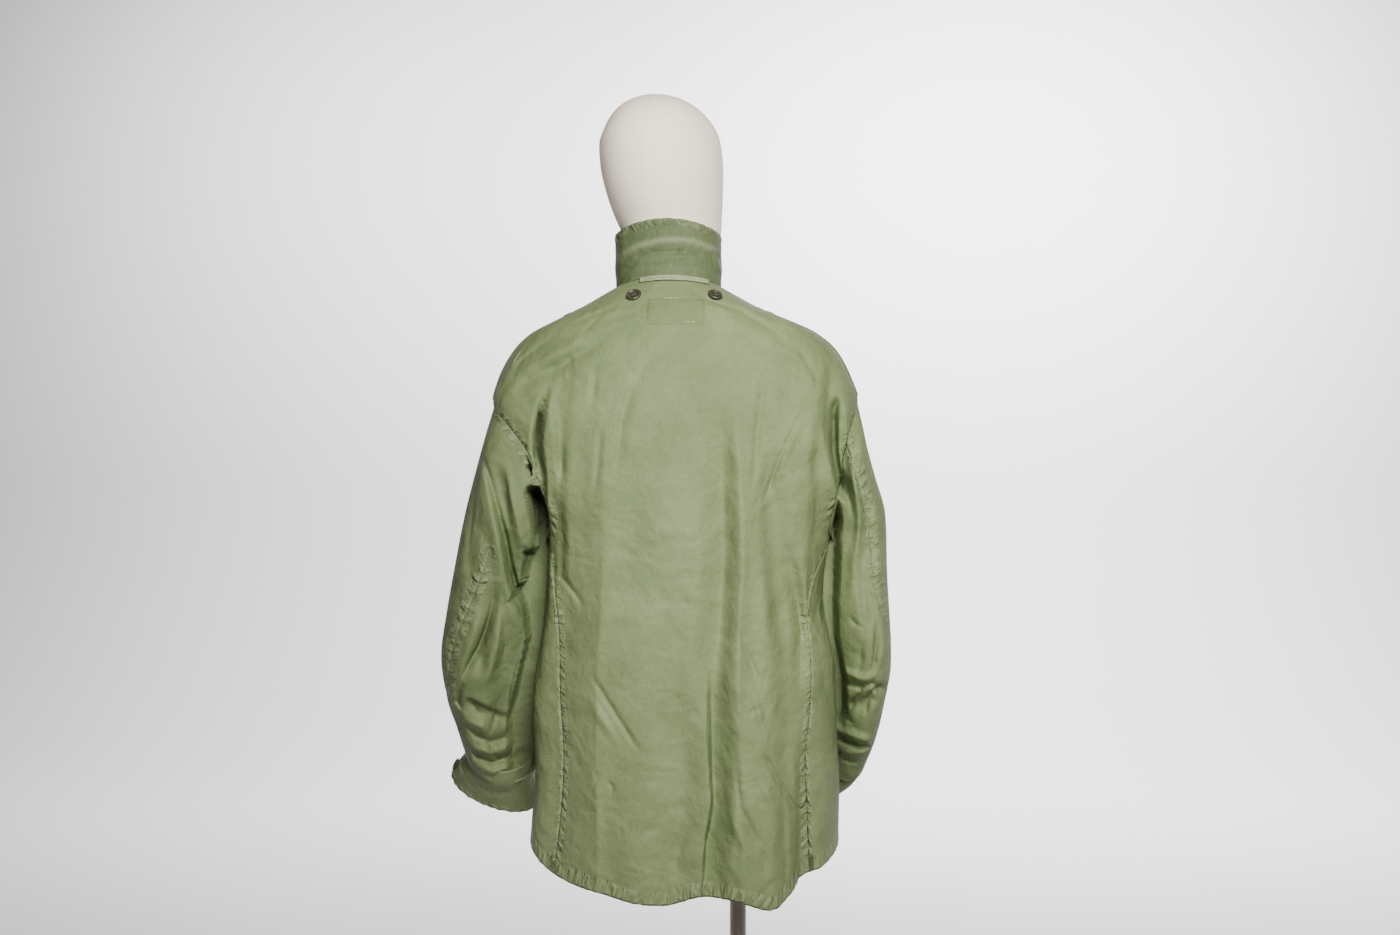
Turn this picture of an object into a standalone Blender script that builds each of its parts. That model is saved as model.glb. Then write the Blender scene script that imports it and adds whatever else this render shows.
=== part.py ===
"""Field jacket, buttoned up and standing on a limbless dress form with a plain egg head.

Metres, +Z up. The origin is the centre of the base plate's underside, on the pole's axis.
The jacket's back faces +Y and its front -Y. The wearer's left is +X.
"""
import math
from functools import lru_cache

import bmesh
import bpy
from mathutils import Vector

CLOTH = 0.002
COLLAR_CLOTH = 0.003
PATCH_CLOTH = 0.0016
SEAM_HALF_GAP = 0.0003
LAYER_GAP = 0.0008
BUTTON_GAP = 0.0004
HOOD_BUTTON_GAP = 0.0007
MITRE_LIMIT = 0.3

HEM_LEVEL = 0.740
UNDERARM_LEVEL = 1.175
ARMHOLE_TOP_LEVEL = 1.358
NECK_LEVEL = 1.504
SEAM_ROWS = 11
ARMHOLE_ROWS = 11
SHOULDER_LEVELS = (1.393, 1.422, 1.444, 1.460, 1.4725, 1.4835, 1.494, NECK_LEVEL)
BACK_HALF_COLUMNS = 14
FRONT_COLUMNS = 12

BACK_ARMHOLE_SWING = {1: 38.0, -1: 29.0}
FRONT_ARMHOLE_SWING = 36.0
FRONT_EDGE = 180.0

SLEEVE_ROWS = 15
SLEEVE_COLUMNS = 2 * ARMHOLE_ROWS
ARMHOLE_FADE = 0.34
CUFF_OVERLAP = 0.018
CUFF_INSET = {"left": 0.0038, "right": 0.0052}
CUFF_ROWS = 5
# shares of a cuff's length: its upper edge, the sleeve's edge, its middle and its lower edge
CUFF_KEYS = (0.0, 0.3, 0.62, 1.0)
CUFF_ALONG_STEP = 0.02
CUFF_AROUND_STEP = 2.0
CUFF_TAB_ALONG = (0.60, 0.90)
CUFF_TAB_AROUND = (-62.0, 34.0)
CUFF_TAB_ROWS = 3
CUFF_TAB_COLUMNS = 10
CUFF_BUTTON_ALONG = 0.75

HEAD_TURN = 19.0
HEAD_TURN_HEIGHTS = (1.520, 1.580)
FORM_COLUMNS = 24
RIDGE_CLEARANCE = 0.0004
SHOULDER_EASE = 0.012

POLE_RADIUS = 0.011
BASE_RADIUS = 0.200
HUB_TOP = 0.030
FLANGE_RADIUS = 0.040
FLANGE_HEIGHT = 0.004
STACK_GAP = 0.0003
# radius, height
BASE_PROFILE = (
    (0.0, 0.0),
    (BASE_RADIUS - 0.002, 0.0),
    (BASE_RADIUS, 0.002),
    (BASE_RADIUS, 0.007),
    (BASE_RADIUS - 0.004, 0.010),
    (0.045, 0.012),
    (0.024, 0.016),
    (0.020, HUB_TOP),
    (0.0, HUB_TOP),
)

BODY_LEVELS = (0.740, 0.860, 0.985, 1.085, 1.175, 1.265, 1.358, 1.395, 1.428, 1.455, 1.480, 1.504)
# side_z, front_z, middle_x, half_width, back_depth, front_depth, squareness
BODY_RINGS = (
    (0.772, 0.746, 0.0710, 0.2040, 0.152, 0.155, 2.20),
    (0.872, 0.862, 0.0673, 0.1998, 0.150, 0.152, 2.20),
    (0.990, 0.985, 0.0675, 0.1955, 0.146, 0.148, 2.20),
    (1.088, 1.085, 0.0710, 0.1835, 0.142, 0.143, 2.30),
    (1.168, 1.168, 0.0680, 0.1825, 0.140, 0.138, 2.40),
    (1.255, 1.250, 0.0740, 0.2200, 0.139, 0.134, 2.40),
    (1.345, 1.335, 0.0832, 0.2415, 0.130, 0.124, 2.30),
    (1.377, 1.368, 0.0850, 0.2325, 0.121, 0.116, 2.25),
    (1.410, 1.398, 0.0855, 0.2150, 0.111, 0.107, 2.20),
    (1.433, 1.420, 0.0885, 0.1910, 0.100, 0.099, 2.15),
    (1.463, 1.445, 0.0920, 0.1290, 0.083, 0.088, 2.10),
    (1.496, 1.462, 0.0920, 0.0720, 0.064, 0.075, 2.00),
)

# side (+1 back, -1 front), x, half_width, rise at the hem
HEM_SWAGS = (
    (1, 0.0460, 0.050, 0.0110),
    (1, -0.0400, 0.055, -0.0130),
    (1, 0.1350, 0.090, 0.0030),
    (-1, 0.0900, 0.070, 0.0040),
)
HEM_SWAG_HEIGHT = 0.110
SHOULDER_TILT = 0.003
TILT_RISE = (1.180, 1.380)
TILT_END = (1.450, 1.500)

SIDE_SEAM_LEVELS = (0.740, 0.900, 1.000, 1.090, 1.150, 1.175)
SIDE_SEAM_ANGLES = ((55.0,), (52.0,), (56.0,), (63.0,), (79.0,), (90.0,))

# outer_x, outer_z, inner_x, inner_z, middle_y, depth, back_drop
LEFT_SLEEVE = (
    (0.336, 1.300, 0.2650, 1.158, 0.000, 0.186, 0.000),
    (0.349, 1.250, 0.2610, 1.139, 0.000, 0.180, 0.000),
    (0.362, 1.198, 0.2600, 1.118, 0.000, 0.172, 0.000),
    (0.374, 1.135, 0.2610, 1.087, 0.002, 0.160, 0.000),
    (0.385, 1.072, 0.2655, 1.045, 0.004, 0.145, 0.000),
    (0.3935, 1.010, 0.2690, 1.000, 0.002, 0.130, -0.004),
    (0.390, 0.955, 0.2713, 0.945, -0.012, 0.120, -0.010),
    (0.382, 0.920, 0.2735, 0.905, -0.028, 0.112, -0.016),
    (0.372, 0.874, 0.2790, 0.850, -0.050, 0.100, -0.024),
)
RIGHT_SLEEVE = (
    (-0.1665, 1.300, -0.1290, 1.158, 0.000, 0.186, 0.000),
    (-0.1800, 1.250, -0.1230, 1.139, 0.000, 0.182, 0.000),
    (-0.1930, 1.200, -0.1210, 1.118, 0.000, 0.178, 0.000),
    (-0.1955, 1.135, -0.1205, 1.087, 0.002, 0.170, 0.000),
    (-0.1985, 1.070, -0.1265, 1.045, 0.004, 0.160, 0.000),
    (-0.2015, 1.005, -0.1340, 0.998, 0.000, 0.148, -0.004),
    (-0.1970, 0.957, -0.1370, 0.945, -0.018, 0.138, -0.012),
    (-0.1925, 0.918, -0.1385, 0.905, -0.044, 0.128, -0.020),
    (-0.1860, 0.872, -0.1300, 0.850, -0.088, 0.110, -0.030),
)
LEFT_CUFF = (
    (0.384, 0.850, 0.280, 0.822, -0.062, 0.075, -0.018),
    (0.400, 0.831, 0.281, 0.789, -0.075, 0.062, -0.018),
)
RIGHT_CUFF = (
    (-0.180, 0.845, -0.117, 0.823, -0.110, 0.090, -0.025),
    (-0.170, 0.820, -0.098, 0.792, -0.130, 0.070, -0.020),
)

# side (+1 back, -1 front), x_top, z_top, x_low, z_low, width_top, width_low, height_top, height_low
BODY_FOLDS = (
    (1, 0.0147, 1.400, 0.0235, 0.640, 0.014, 0.024, -0.002, -0.026),
    (1, -0.0260, 1.180, -0.0260, 0.640, 0.026, 0.038, 0.003, 0.022),
    (1, -0.0330, 1.290, -0.0480, 1.020, 0.024, 0.024, -0.009, -0.008),
    (1, -0.0810, 0.960, -0.0810, 0.660, 0.020, 0.024, -0.005, -0.014),
    (1, 0.1800, 1.380, 0.1850, 0.660, 0.030, 0.034, -0.004, -0.010),
    (1, 0.1200, 1.150, 0.1230, 0.660, 0.046, 0.050, 0.004, 0.012),
    (1, 0.2220, 1.400, 0.2330, 1.230, 0.026, 0.026, -0.006, -0.008),
    (1, 0.2330, 1.300, 0.2330, 1.090, 0.024, 0.024, -0.007, -0.007),
    (1, -0.1130, 1.400, -0.1010, 1.240, 0.024, 0.024, -0.006, -0.009),
    (1, -0.1020, 1.300, -0.0980, 1.020, 0.024, 0.024, -0.008, -0.008),
    (-1, 0.1500, 1.020, 0.1560, 0.640, 0.050, 0.056, 0.003, 0.010),
    (-1, -0.0200, 1.020, -0.0260, 0.640, 0.050, 0.056, 0.003, 0.010),
    (-1, 0.2300, 1.060, 0.2340, 0.640, 0.040, 0.044, -0.003, -0.008),
    (-1, -0.1020, 1.060, -0.1060, 0.640, 0.040, 0.044, -0.003, -0.008),
)
LEFT_SLEEVE_FOLDS = (
    (1, 0.3080, 1.275, 0.2760, 1.080, 0.016, 0.016, -0.009, -0.010),
    (1, 0.3040, 1.120, 0.3360, 0.990, 0.018, 0.018, -0.009, -0.011),
    (1, 0.3600, 0.960, 0.2900, 0.925, 0.015, 0.015, -0.008, -0.008),
    (-1, 0.3300, 1.180, 0.2900, 1.000, 0.018, 0.018, -0.006, -0.008),
)
RIGHT_SLEEVE_FOLDS = (
    (1, -0.1500, 1.240, -0.1680, 1.040, 0.014, 0.016, -0.006, -0.008),
    (1, -0.1920, 0.985, -0.1420, 0.945, 0.015, 0.015, -0.009, -0.008),
    (-1, -0.1700, 1.180, -0.1500, 1.000, 0.018, 0.018, -0.006, -0.008),
)
FOLD_END_FADE = 0.22
FOLD_SIDE_FADE = 0.035

# back_z, side_z, front_z, middle_x, half_width, back_depth, front_depth
COLLAR_TOP = (1.577, 1.566, 1.545, 0.0930, 0.0700, 0.0640, 0.0780)
COLLAR_BASE_DROP = 0.003
COLLAR_BASE_INSET = 0.0033
COLLAR_ROWS = 5
COLLAR_COLUMNS = 28
COLLAR_OPENING = 3.0

# z, middle_x, middle_y, half_width, half_depth
FORM_TRUNK = (
    (0.860, 0.060, 0.000, 0.1400, 0.0950),
    (0.875, 0.060, 0.000, 0.1520, 0.1040),
    (0.930, 0.060, 0.000, 0.1580, 0.1120),
    (0.980, 0.062, 0.000, 0.1480, 0.1020),
    (1.030, 0.064, 0.000, 0.1350, 0.0920),
    (1.100, 0.068, 0.000, 0.1430, 0.0980),
    (1.170, 0.073, 0.000, 0.1550, 0.1070),
    (1.260, 0.080, 0.000, 0.1650, 0.1130),
    (1.330, 0.084, 0.000, 0.1720, 0.1050),
    (1.385, 0.086, 0.000, 0.1880, 0.0900),
)
FORM_SEAT_LEVELS = SHOULDER_LEVELS[2:6]
FORM_NECK_INSET = 0.009
FORM_NECK_DROP = 0.004
FORM_HEAD = (
    (1.515, 0.0920, -0.001, 0.0585, 0.0550),
    (1.540, 0.0920, -0.002, 0.0580, 0.0560),
    (1.560, 0.0905, -0.008, 0.0590, 0.0620),
    (1.580, 0.0898, -0.024, 0.0660, 0.0830),
    (1.600, 0.0938, -0.020, 0.0708, 0.0900),
    (1.629, 0.0980, -0.014, 0.0761, 0.0970),
    (1.660, 0.1010, -0.010, 0.0795, 0.1010),
    (1.684, 0.1025, -0.008, 0.0795, 0.1000),
    (1.704, 0.1015, -0.008, 0.0746, 0.0940),
    (1.718, 0.1020, -0.009, 0.0680, 0.0860),
    (1.732, 0.1028, -0.010, 0.0570, 0.0720),
    (1.745, 0.1030, -0.012, 0.0388, 0.0500),
    (1.752, 0.1035, -0.012, 0.0200, 0.0260),
)
FORM_CROWN = (0.1035, -0.012, 1.755)

HOOD_BUTTON_RADIUS = 0.010
SMALL_BUTTON_RADIUS = 0.0085
SNAP_RADIUS = 0.0065
HOOD_BUTTON_X = (0.1339, 0.0318)
HOOD_BUTTON_Z = 1.476
SNAP_LEVELS = (0.860, 0.985, 1.110, 1.235, 1.360)
# radius as a share of the button's, height
BUTTON_PROFILE = ((0.0, 0.0), (0.92, 0.0), (1.0, 0.0011), (0.84, 0.0030), (0.66, 0.0017), (0.0, 0.0017))
# radius as a share of the snap's, height
SNAP_PROFILE = ((0.0, 0.0), (1.0, 0.0), (1.0, 0.0008), (0.62, 0.0024), (0.0, 0.0030))

FLY_HALF_WIDTH = 0.031
FLY_LEVELS = (0.745, 1.490)
FLY_COLUMNS = 4
FLY_ROW_MARGIN = 0.010
FLY_NARROWS_BELOW = 0.120
LOOP_REACH = (0.0350, -0.0515)
LOOP_LEVELS = (1.4940, 1.5020)
LOOP_SLACK = 0.0006
LOOP_COLUMNS = 12
STRAP_HALF_WIDTH = 0.024
STRAP_LEVELS = (1.366,) + SHOULDER_LEVELS[:6]
STRAP_BUTTON_LEVEL = 1.478
STRAP_COLUMNS = 6

# first_angle, last_angle, low_level, high_level
CHEST_POCKET = (137.0, 166.0, 1.130, 1.262)
CHEST_FLAP = (136.0, 167.0, 1.232, 1.285)
CHEST_COLUMNS = 6
CHEST_ROW = 0.024
# near and far sides as shares of the way from centre front to the side seam, low_level, high_level
HIP_POCKET = (0.115, 0.445, 0.790, 0.955)
HIP_FLAP = (0.100, 0.460, 0.925, 0.985)
PATCH_MARGIN = 0.15


def smooth_table(keys, rows):
    """Return a function that reads every column of a table at any key, on monotone cubic curves."""
    steps = [after - before for before, after in zip(keys, keys[1:])]
    columns = list(zip(*rows))
    slopes = []
    for values in columns:
        rises = [(after - before) / step for before, after, step in zip(values, values[1:], steps)]
        tangents = [rises[0]]
        for i in range(1, len(rises)):
            if rises[i - 1] * rises[i] <= 0.0:
                tangents.append(0.0)
                continue
            before_weight = 2.0 * steps[i] + steps[i - 1]
            after_weight = steps[i] + 2.0 * steps[i - 1]
            total = before_weight + after_weight
            tangents.append(total / (before_weight / rises[i - 1] + after_weight / rises[i]))
        tangents.append(rises[-1])
        slopes.append(tangents)

    @lru_cache(maxsize=None)
    def read(key):
        key = min(max(key, keys[0]), keys[-1])
        i = 0
        while i < len(steps) - 1 and key > keys[i + 1]:
            i += 1
        t = (key - keys[i]) / steps[i]
        start = (1.0 + 2.0 * t) * (1.0 - t) ** 2
        end = t * t * (3.0 - 2.0 * t)
        leave = t * (1.0 - t) ** 2 * steps[i]
        arrive = t * t * (t - 1.0) * steps[i]
        return [
            start * values[i] + end * values[i + 1] + leave * tangents[i] + arrive * tangents[i + 1]
            for values, tangents in zip(columns, slopes)
        ]

    return read


body_ring = smooth_table(BODY_LEVELS, BODY_RINGS)
side_seam = smooth_table(SIDE_SEAM_LEVELS, SIDE_SEAM_ANGLES)


def ease(t):
    """Smooth step from 0 to 1."""
    t = min(max(t, 0.0), 1.0)
    return t * t * (3.0 - 2.0 * t)


def ramp(value, reach):
    """Smooth step from 0 at the reach's first value to 1 at its second."""
    return ease((value - reach[0]) / (reach[1] - reach[0]))


def fold_lift(point, folds):
    """How far the folds near a point push the cloth out of its plain form."""
    lift = 0.0
    for side, x_top, z_top, x_low, z_low, width_top, width_low, height_top, height_low in folds:
        if point.y * side <= 0.0:
            continue
        run_x = x_low - x_top
        run_z = z_low - z_top
        length = math.hypot(run_x, run_z)
        away_x = point.x - x_top
        away_z = point.z - z_top
        along = (away_x * run_x + away_z * run_z) / length ** 2
        across = abs(away_x * run_z - away_z * run_x) / length
        half_width = width_top + (width_low - width_top) * along
        if not 0.0 < along < 1.0 or across >= half_width:
            continue
        ends = ease(along / FOLD_END_FADE) * ease((1.0 - along) / FOLD_END_FADE)
        height = height_top + (height_low - height_top) * along
        lift += height * ends * (0.5 + 0.5 * math.cos(math.pi * across / half_width))
    return lift * ease(abs(point.y) / FOLD_SIDE_FADE)


def hem_swag(x, y):
    """How far the hem rises at a place, where the cloth hangs unevenly."""
    rise = 0.0
    for side, middle, half_width, height in HEM_SWAGS:
        away = abs(x - middle)
        if y * side > 0.0 and away < half_width:
            rise += height * (0.5 + 0.5 * math.cos(math.pi * away / half_width))
    return rise * ease(abs(y) / FOLD_SIDE_FADE)


def ring_point(level, angle):
    """A point of the jacket's plain body. The angle runs from centre back towards the wearer's left."""
    side_z, front_z, middle_x, half_width, back_depth, front_depth, squareness = body_ring(level)
    sine = math.sin(math.radians(angle))
    cosine = math.cos(math.radians(angle))
    swell = (abs(sine) ** squareness + abs(cosine) ** squareness) ** (-1.0 / squareness)
    depth = back_depth if cosine > 0.0 else front_depth
    end_z = level if cosine > 0.0 else front_z
    x = middle_x + half_width * swell * sine
    y = depth * swell * cosine
    z = side_z * sine ** 2 + end_z * cosine ** 2
    swag = hem_swag(x, y) * (1.0 - ease((level - HEM_LEVEL) / HEM_SWAG_HEIGHT))
    tilt = SHOULDER_TILT * sine * (ramp(level, TILT_RISE) - ramp(level, TILT_END))
    return Vector((x, y, z + swag - tilt))


def surface_normal(surface, level, angle, level_step=0.002, angle_step=0.6):
    """The outward normal of a body surface, from its slopes up and round."""
    low = max(level - level_step, HEM_LEVEL)
    high = min(level + level_step, NECK_LEVEL)
    up = surface(high, angle) - surface(low, angle)
    across = surface(level, angle + angle_step) - surface(level, angle - angle_step)
    return up.cross(across).normalized()


@lru_cache(maxsize=None)
def cloth_point(level, angle):
    """A point halfway through the cloth of the jacket's body, with its folds."""
    point = ring_point(level, angle)
    lift = fold_lift(point, BODY_FOLDS)
    if lift == 0.0:
        return point
    return point + surface_normal(ring_point, level, angle) * lift


@lru_cache(maxsize=None)
def cloth_normal(level, angle):
    return surface_normal(cloth_point, level, angle)


def wall_pair(point, normal, thickness):
    """The outer and inner points of a wall at a point of its middle surface."""
    return point + normal * (thickness / 2.0), point - normal * (thickness / 2.0)


def cloth_pair(level, angle):
    return wall_pair(cloth_point(level, angle), cloth_normal(level, angle), CLOTH)


def armhole_place(around, side):
    """Level and angle of the armhole seam. Around is 0 at the top, 90 at the back and 180 below."""
    sine = math.sin(math.radians(around))
    swing = BACK_ARMHOLE_SWING[side] if sine > 0.0 else FRONT_ARMHOLE_SWING
    middle = (UNDERARM_LEVEL + ARMHOLE_TOP_LEVEL) / 2.0
    reach = (ARMHOLE_TOP_LEVEL - UNDERARM_LEVEL) / 2.0
    level = middle + reach * math.cos(math.radians(around))
    return level, side * (90.0 - swing * sine)


@lru_cache(maxsize=None)
def armhole_point(around, side):
    return cloth_point(*armhole_place(around, side))


def oval_point(row, around):
    """A point of a slanted oval: around is 0 at its outer end and 90 at its back."""
    outer_x, outer_z, inner_x, inner_z, middle_y, depth, back_drop = row
    cosine = math.cos(math.radians(around))
    sine = math.sin(math.radians(around))
    x = (outer_x + inner_x + (outer_x - inner_x) * cosine) / 2.0
    z = (outer_z + inner_z + (outer_z - inner_z) * cosine) / 2.0
    return Vector((x, middle_y + depth / 2.0 * sine, z + back_drop * sine))


def sleeve_table(side, rows):
    """A sleeve's ovals with the armhole's own oval first, keyed by the share of its length."""
    top = armhole_point(0.0, side)
    back = armhole_point(90.0, side)
    low = armhole_point(180.0, side)
    front = armhole_point(270.0, side)
    first = (top.x, top.z, low.x, low.z, (back.y + front.y) / 2.0, back.y - front.y, 0.0)
    rows = (first,) + rows
    middles = [Vector(((row[0] + row[2]) / 2.0, row[4], (row[1] + row[3]) / 2.0)) for row in rows]
    lengths = [0.0]
    for before, after in zip(middles, middles[1:]):
        lengths.append(lengths[-1] + (after - before).length)
    keys = [length / lengths[-1] for length in lengths]
    return smooth_table(keys, rows), rows[0], lengths[-1]


class Sleeve:
    """A sleeve's middle surface, from the armhole at 0 to its lower edge at 1."""

    def __init__(self, side, rows, folds):
        self.side = side
        self.folds = folds
        self.ovals, self.first, self.length = sleeve_table(side, rows)

    def plain(self, along, around):
        point = oval_point(self.ovals(min(max(along, 0.0), 1.0)), around)
        left_over = armhole_point(around % 360.0, self.side) - oval_point(self.first, around)
        return point + left_over * (1.0 - ease(along / ARMHOLE_FADE))

    def normal_of(self, surface, along, around, along_step=0.01, around_step=2.0):
        down = surface(min(along + along_step, 1.0), around) - surface(max(along - along_step, 0.0), around)
        round_it = surface(along, around + around_step) - surface(along, around - around_step)
        return down.cross(round_it).normalized() * self.side

    def point(self, along, around):
        plain = self.plain(along, around)
        lift = fold_lift(plain, self.folds)
        if lift == 0.0:
            return plain
        return plain + self.normal_of(self.plain, along, around) * lift

    def pair(self, along, around, thickness=CLOTH):
        normal = self.normal_of(self.point, along, around)
        return wall_pair(self.point(along, around), normal, thickness)


SLEEVES = {
    "left": Sleeve(1, LEFT_SLEEVE, LEFT_SLEEVE_FOLDS),
    "right": Sleeve(-1, RIGHT_SLEEVE, RIGHT_SLEEVE_FOLDS),
}


def armhole_pair(around, sleeve, towards_sleeve, towards_back=0.0):
    """Both faces of a wall that ends at the armhole seam, cut on the mitre of panel and sleeve."""
    side = sleeve.side
    point = armhole_point(around % 360.0, side)
    tangent = (armhole_point((around + 2.0) % 360.0, side) - armhole_point((around - 2.0) % 360.0, side))
    tangent.normalize()
    panel_normal = cloth_normal(*armhole_place(around % 360.0, side))
    sleeve_normal = sleeve.normal_of(sleeve.plain, 0.0, around)
    mitre = (panel_normal + sleeve_normal).normalized()
    half = CLOTH / 2.0 / max(mitre.dot(panel_normal), MITRE_LIMIT)
    outward = tangent.cross(mitre).normalized()
    if outward.x * side < 0.0:
        outward = -outward
    shift = outward * (SEAM_HALF_GAP * towards_sleeve) + Vector((0.0, SEAM_HALF_GAP * towards_back, 0.0))
    return point + shift + mitre * half, point + shift - mitre * half


def finish(name, colour, roughness, metallic=0.0):
    """A plain material for a sub-part."""
    material = bpy.data.materials.new(name)
    material.use_nodes = True
    shader = material.node_tree.nodes["Principled BSDF"]
    shader.inputs["Base Color"].default_value = (*colour, 1.0)
    shader.inputs["Roughness"].default_value = roughness
    shader.inputs["Metallic"].default_value = metallic
    return material


def add_object(name, shape, material, sharp=50.0):
    """Close a bmesh into an object of its own, with its faces pointing out."""
    bmesh.ops.recalc_face_normals(shape, faces=shape.faces)
    mesh = bpy.data.meshes.new(name)
    shape.to_mesh(mesh)
    shape.free()
    mesh.shade_smooth()
    mesh.set_sharp_from_angle(angle=math.radians(sharp))
    mesh.materials.append(material)
    piece = bpy.data.objects.new(name, mesh)
    bpy.context.scene.collection.objects.link(piece)
    return piece


def add_wall(name, pairs, material, closed=False):
    """A wall of cloth through rows of outer and inner points; closed joins each row to a ring."""
    shape = bmesh.new()
    outer = [[shape.verts.new(pair[0]) for pair in row] for row in pairs]
    inner = [[shape.verts.new(pair[1]) for pair in row] for row in pairs]
    rows = len(pairs)
    columns = len(pairs[0])
    spans = [(j, (j + 1) % columns) for j in range(columns if closed else columns - 1)]
    for i in range(rows - 1):
        for j, k in spans:
            shape.faces.new((outer[i][j], outer[i][k], outer[i + 1][k], outer[i + 1][j]))
            shape.faces.new((inner[i][j], inner[i + 1][j], inner[i + 1][k], inner[i][k]))
    for j, k in spans:
        shape.faces.new((outer[0][j], inner[0][j], inner[0][k], outer[0][k]))
        shape.faces.new((outer[-1][j], outer[-1][k], inner[-1][k], inner[-1][j]))
    if not closed:
        for i in range(rows - 1):
            shape.faces.new((outer[i][0], outer[i + 1][0], inner[i + 1][0], inner[i][0]))
            shape.faces.new((outer[i][-1], inner[i][-1], inner[i + 1][-1], outer[i + 1][-1]))
    return add_object(name, shape, material)


def add_turned(name, profile, material, centre=(0.0, 0.0, 0.0), axis=(0.0, 0.0, 1.0), sides=16):
    """A turned solid: profile points are radius and height, and both ends lie on the axis."""
    shape = bmesh.new()
    turn = Vector((0.0, 0.0, 1.0)).rotation_difference(Vector(axis))
    place = Vector(centre)

    def put(radius, height, share):
        round_it = math.tau * share
        local = Vector((radius * math.cos(round_it), radius * math.sin(round_it), height))
        return shape.verts.new(turn @ local + place)

    first = put(0.0, profile[0][1], 0.0)
    last = put(0.0, profile[-1][1], 0.0)
    rings = [[put(radius, height, j / sides) for j in range(sides)] for radius, height in profile[1:-1]]
    for j in range(sides):
        k = (j + 1) % sides
        shape.faces.new((first, rings[0][k], rings[0][j]))
        shape.faces.new((last, rings[-1][j], rings[-1][k]))
        for lower, upper in zip(rings, rings[1:]):
            shape.faces.new((lower[j], lower[k], upper[k], upper[j]))
    return add_object(name, shape, material, sharp=35.0)


def steps(first, last, count):
    return [first + (last - first) * i / count for i in range(count + 1)]


def panel_rows(side, back):
    """Rows of a panel as centre level, edge level, edge angle and place round the armhole or None.

    Back is +1 for the back and -1 for a front.
    """
    rows = []
    for i in range(SEAM_ROWS):
        level = HEM_LEVEL + (UNDERARM_LEVEL - HEM_LEVEL) * i / SEAM_ROWS
        rows.append((level, level, side_seam(level)[0], None))
    for i in range(ARMHOLE_ROWS + 1):
        around = 180.0 - back * 180.0 * i / ARMHOLE_ROWS
        level, angle = armhole_place(around, side)
        share = i / ARMHOLE_ROWS
        centre = UNDERARM_LEVEL + (ARMHOLE_TOP_LEVEL - UNDERARM_LEVEL) * share
        rows.append((centre, level, abs(angle), around))
    for level in SHOULDER_LEVELS:
        rows.append((level, level, 90.0, None))
    return rows


def seam_step(level, angle):
    """The angle that half a seam's gap covers at a place on the body."""
    degree = (cloth_point(level, angle + 0.5) - cloth_point(level, angle - 0.5)).length
    return SEAM_HALF_GAP / degree


def edge_pair(row, sleeve, back):
    """The last pair of a panel's row, at the side seam, the armhole or the shoulder seam."""
    _, level, angle, around = row
    towards_back = 1.0 if back else -1.0
    if around is not None:
        corner = towards_back if around % 180.0 == 0.0 else 0.0
        return armhole_pair(around, sleeve, -1.0, corner)
    angle -= towards_back * seam_step(level, sleeve.side * angle)
    return cloth_pair(level, sleeve.side * angle)


def make_back(cloth):
    pairs = []
    for right_row, left_row in zip(panel_rows(-1, 1), panel_rows(1, 1)):
        line = [edge_pair(right_row, SLEEVES["right"], True)]
        for j in range(1 - BACK_HALF_COLUMNS, BACK_HALF_COLUMNS):
            share = j / BACK_HALF_COLUMNS
            centre, level, angle, _ = left_row if j > 0 else right_row
            line.append(cloth_pair(centre + (level - centre) * share ** 2, angle * share))
        line.append(edge_pair(left_row, SLEEVES["left"], True))
        pairs.append(line)
    add_wall("back", pairs, cloth)


def make_front(name, cloth):
    sleeve = SLEEVES[name]
    pairs = []
    for row in panel_rows(sleeve.side, -1):
        centre, level, angle, _ = row
        line = [edge_pair(row, sleeve, False)]
        for j in range(FRONT_COLUMNS - 1, -1, -1):
            share = j / FRONT_COLUMNS
            here = centre + (level - centre) * share ** 2
            turned = FRONT_EDGE - (FRONT_EDGE - angle) * share
            if j == 0:
                turned -= seam_step(here, FRONT_EDGE)
            line.append(cloth_pair(here, sleeve.side * turned))
        pairs.append(line)
    add_wall(f"front_{name}", pairs, cloth)


def make_sleeve(name, cloth):
    sleeve = SLEEVES[name]
    turns = [360.0 * j / SLEEVE_COLUMNS for j in range(SLEEVE_COLUMNS)]
    pairs = [[armhole_pair(around, sleeve, 1.0) for around in turns]]
    for along in steps(0.0, 1.0, SLEEVE_ROWS)[1:]:
        pairs.append([sleeve.pair(along, around) for around in turns])
    add_wall(f"sleeve_{name}", pairs, cloth, closed=True)


def shrunk_oval(row, inset):
    """An oval moved inwards all round."""
    outer_x, outer_z, inner_x, inner_z, middle_y, depth, back_drop = row
    reach = Vector((outer_x - inner_x, outer_z - inner_z))
    move = reach.normalized() * inset
    return (outer_x - move.x, outer_z - move.y, inner_x + move.x, inner_z + move.y,
            middle_y, depth - 2.0 * inset, back_drop)


def cuff_surface(name):
    """A cuff's middle surface, from its upper edge inside the sleeve at 0 to its lower edge at 1."""
    sleeve = SLEEVES[name]
    lower = LEFT_CUFF if name == "left" else RIGHT_CUFF
    first = shrunk_oval(sleeve.ovals(1.0 - CUFF_OVERLAP / sleeve.length), CUFF_INSET[name])
    second = shrunk_oval(sleeve.ovals(1.0), CUFF_INSET[name])
    read = smooth_table(CUFF_KEYS, (first, second) + lower)

    def point(along, around):
        return oval_point(read(min(max(along, 0.0), 1.0)), around)

    def pair(along, around, lift, thickness):
        down = point(along + CUFF_ALONG_STEP, around) - point(along - CUFF_ALONG_STEP, around)
        round_it = point(along, around + CUFF_AROUND_STEP) - point(along, around - CUFF_AROUND_STEP)
        normal = down.cross(round_it).normalized() * sleeve.side
        return wall_pair(point(along, around) + normal * lift, normal, thickness)

    return pair


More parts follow.
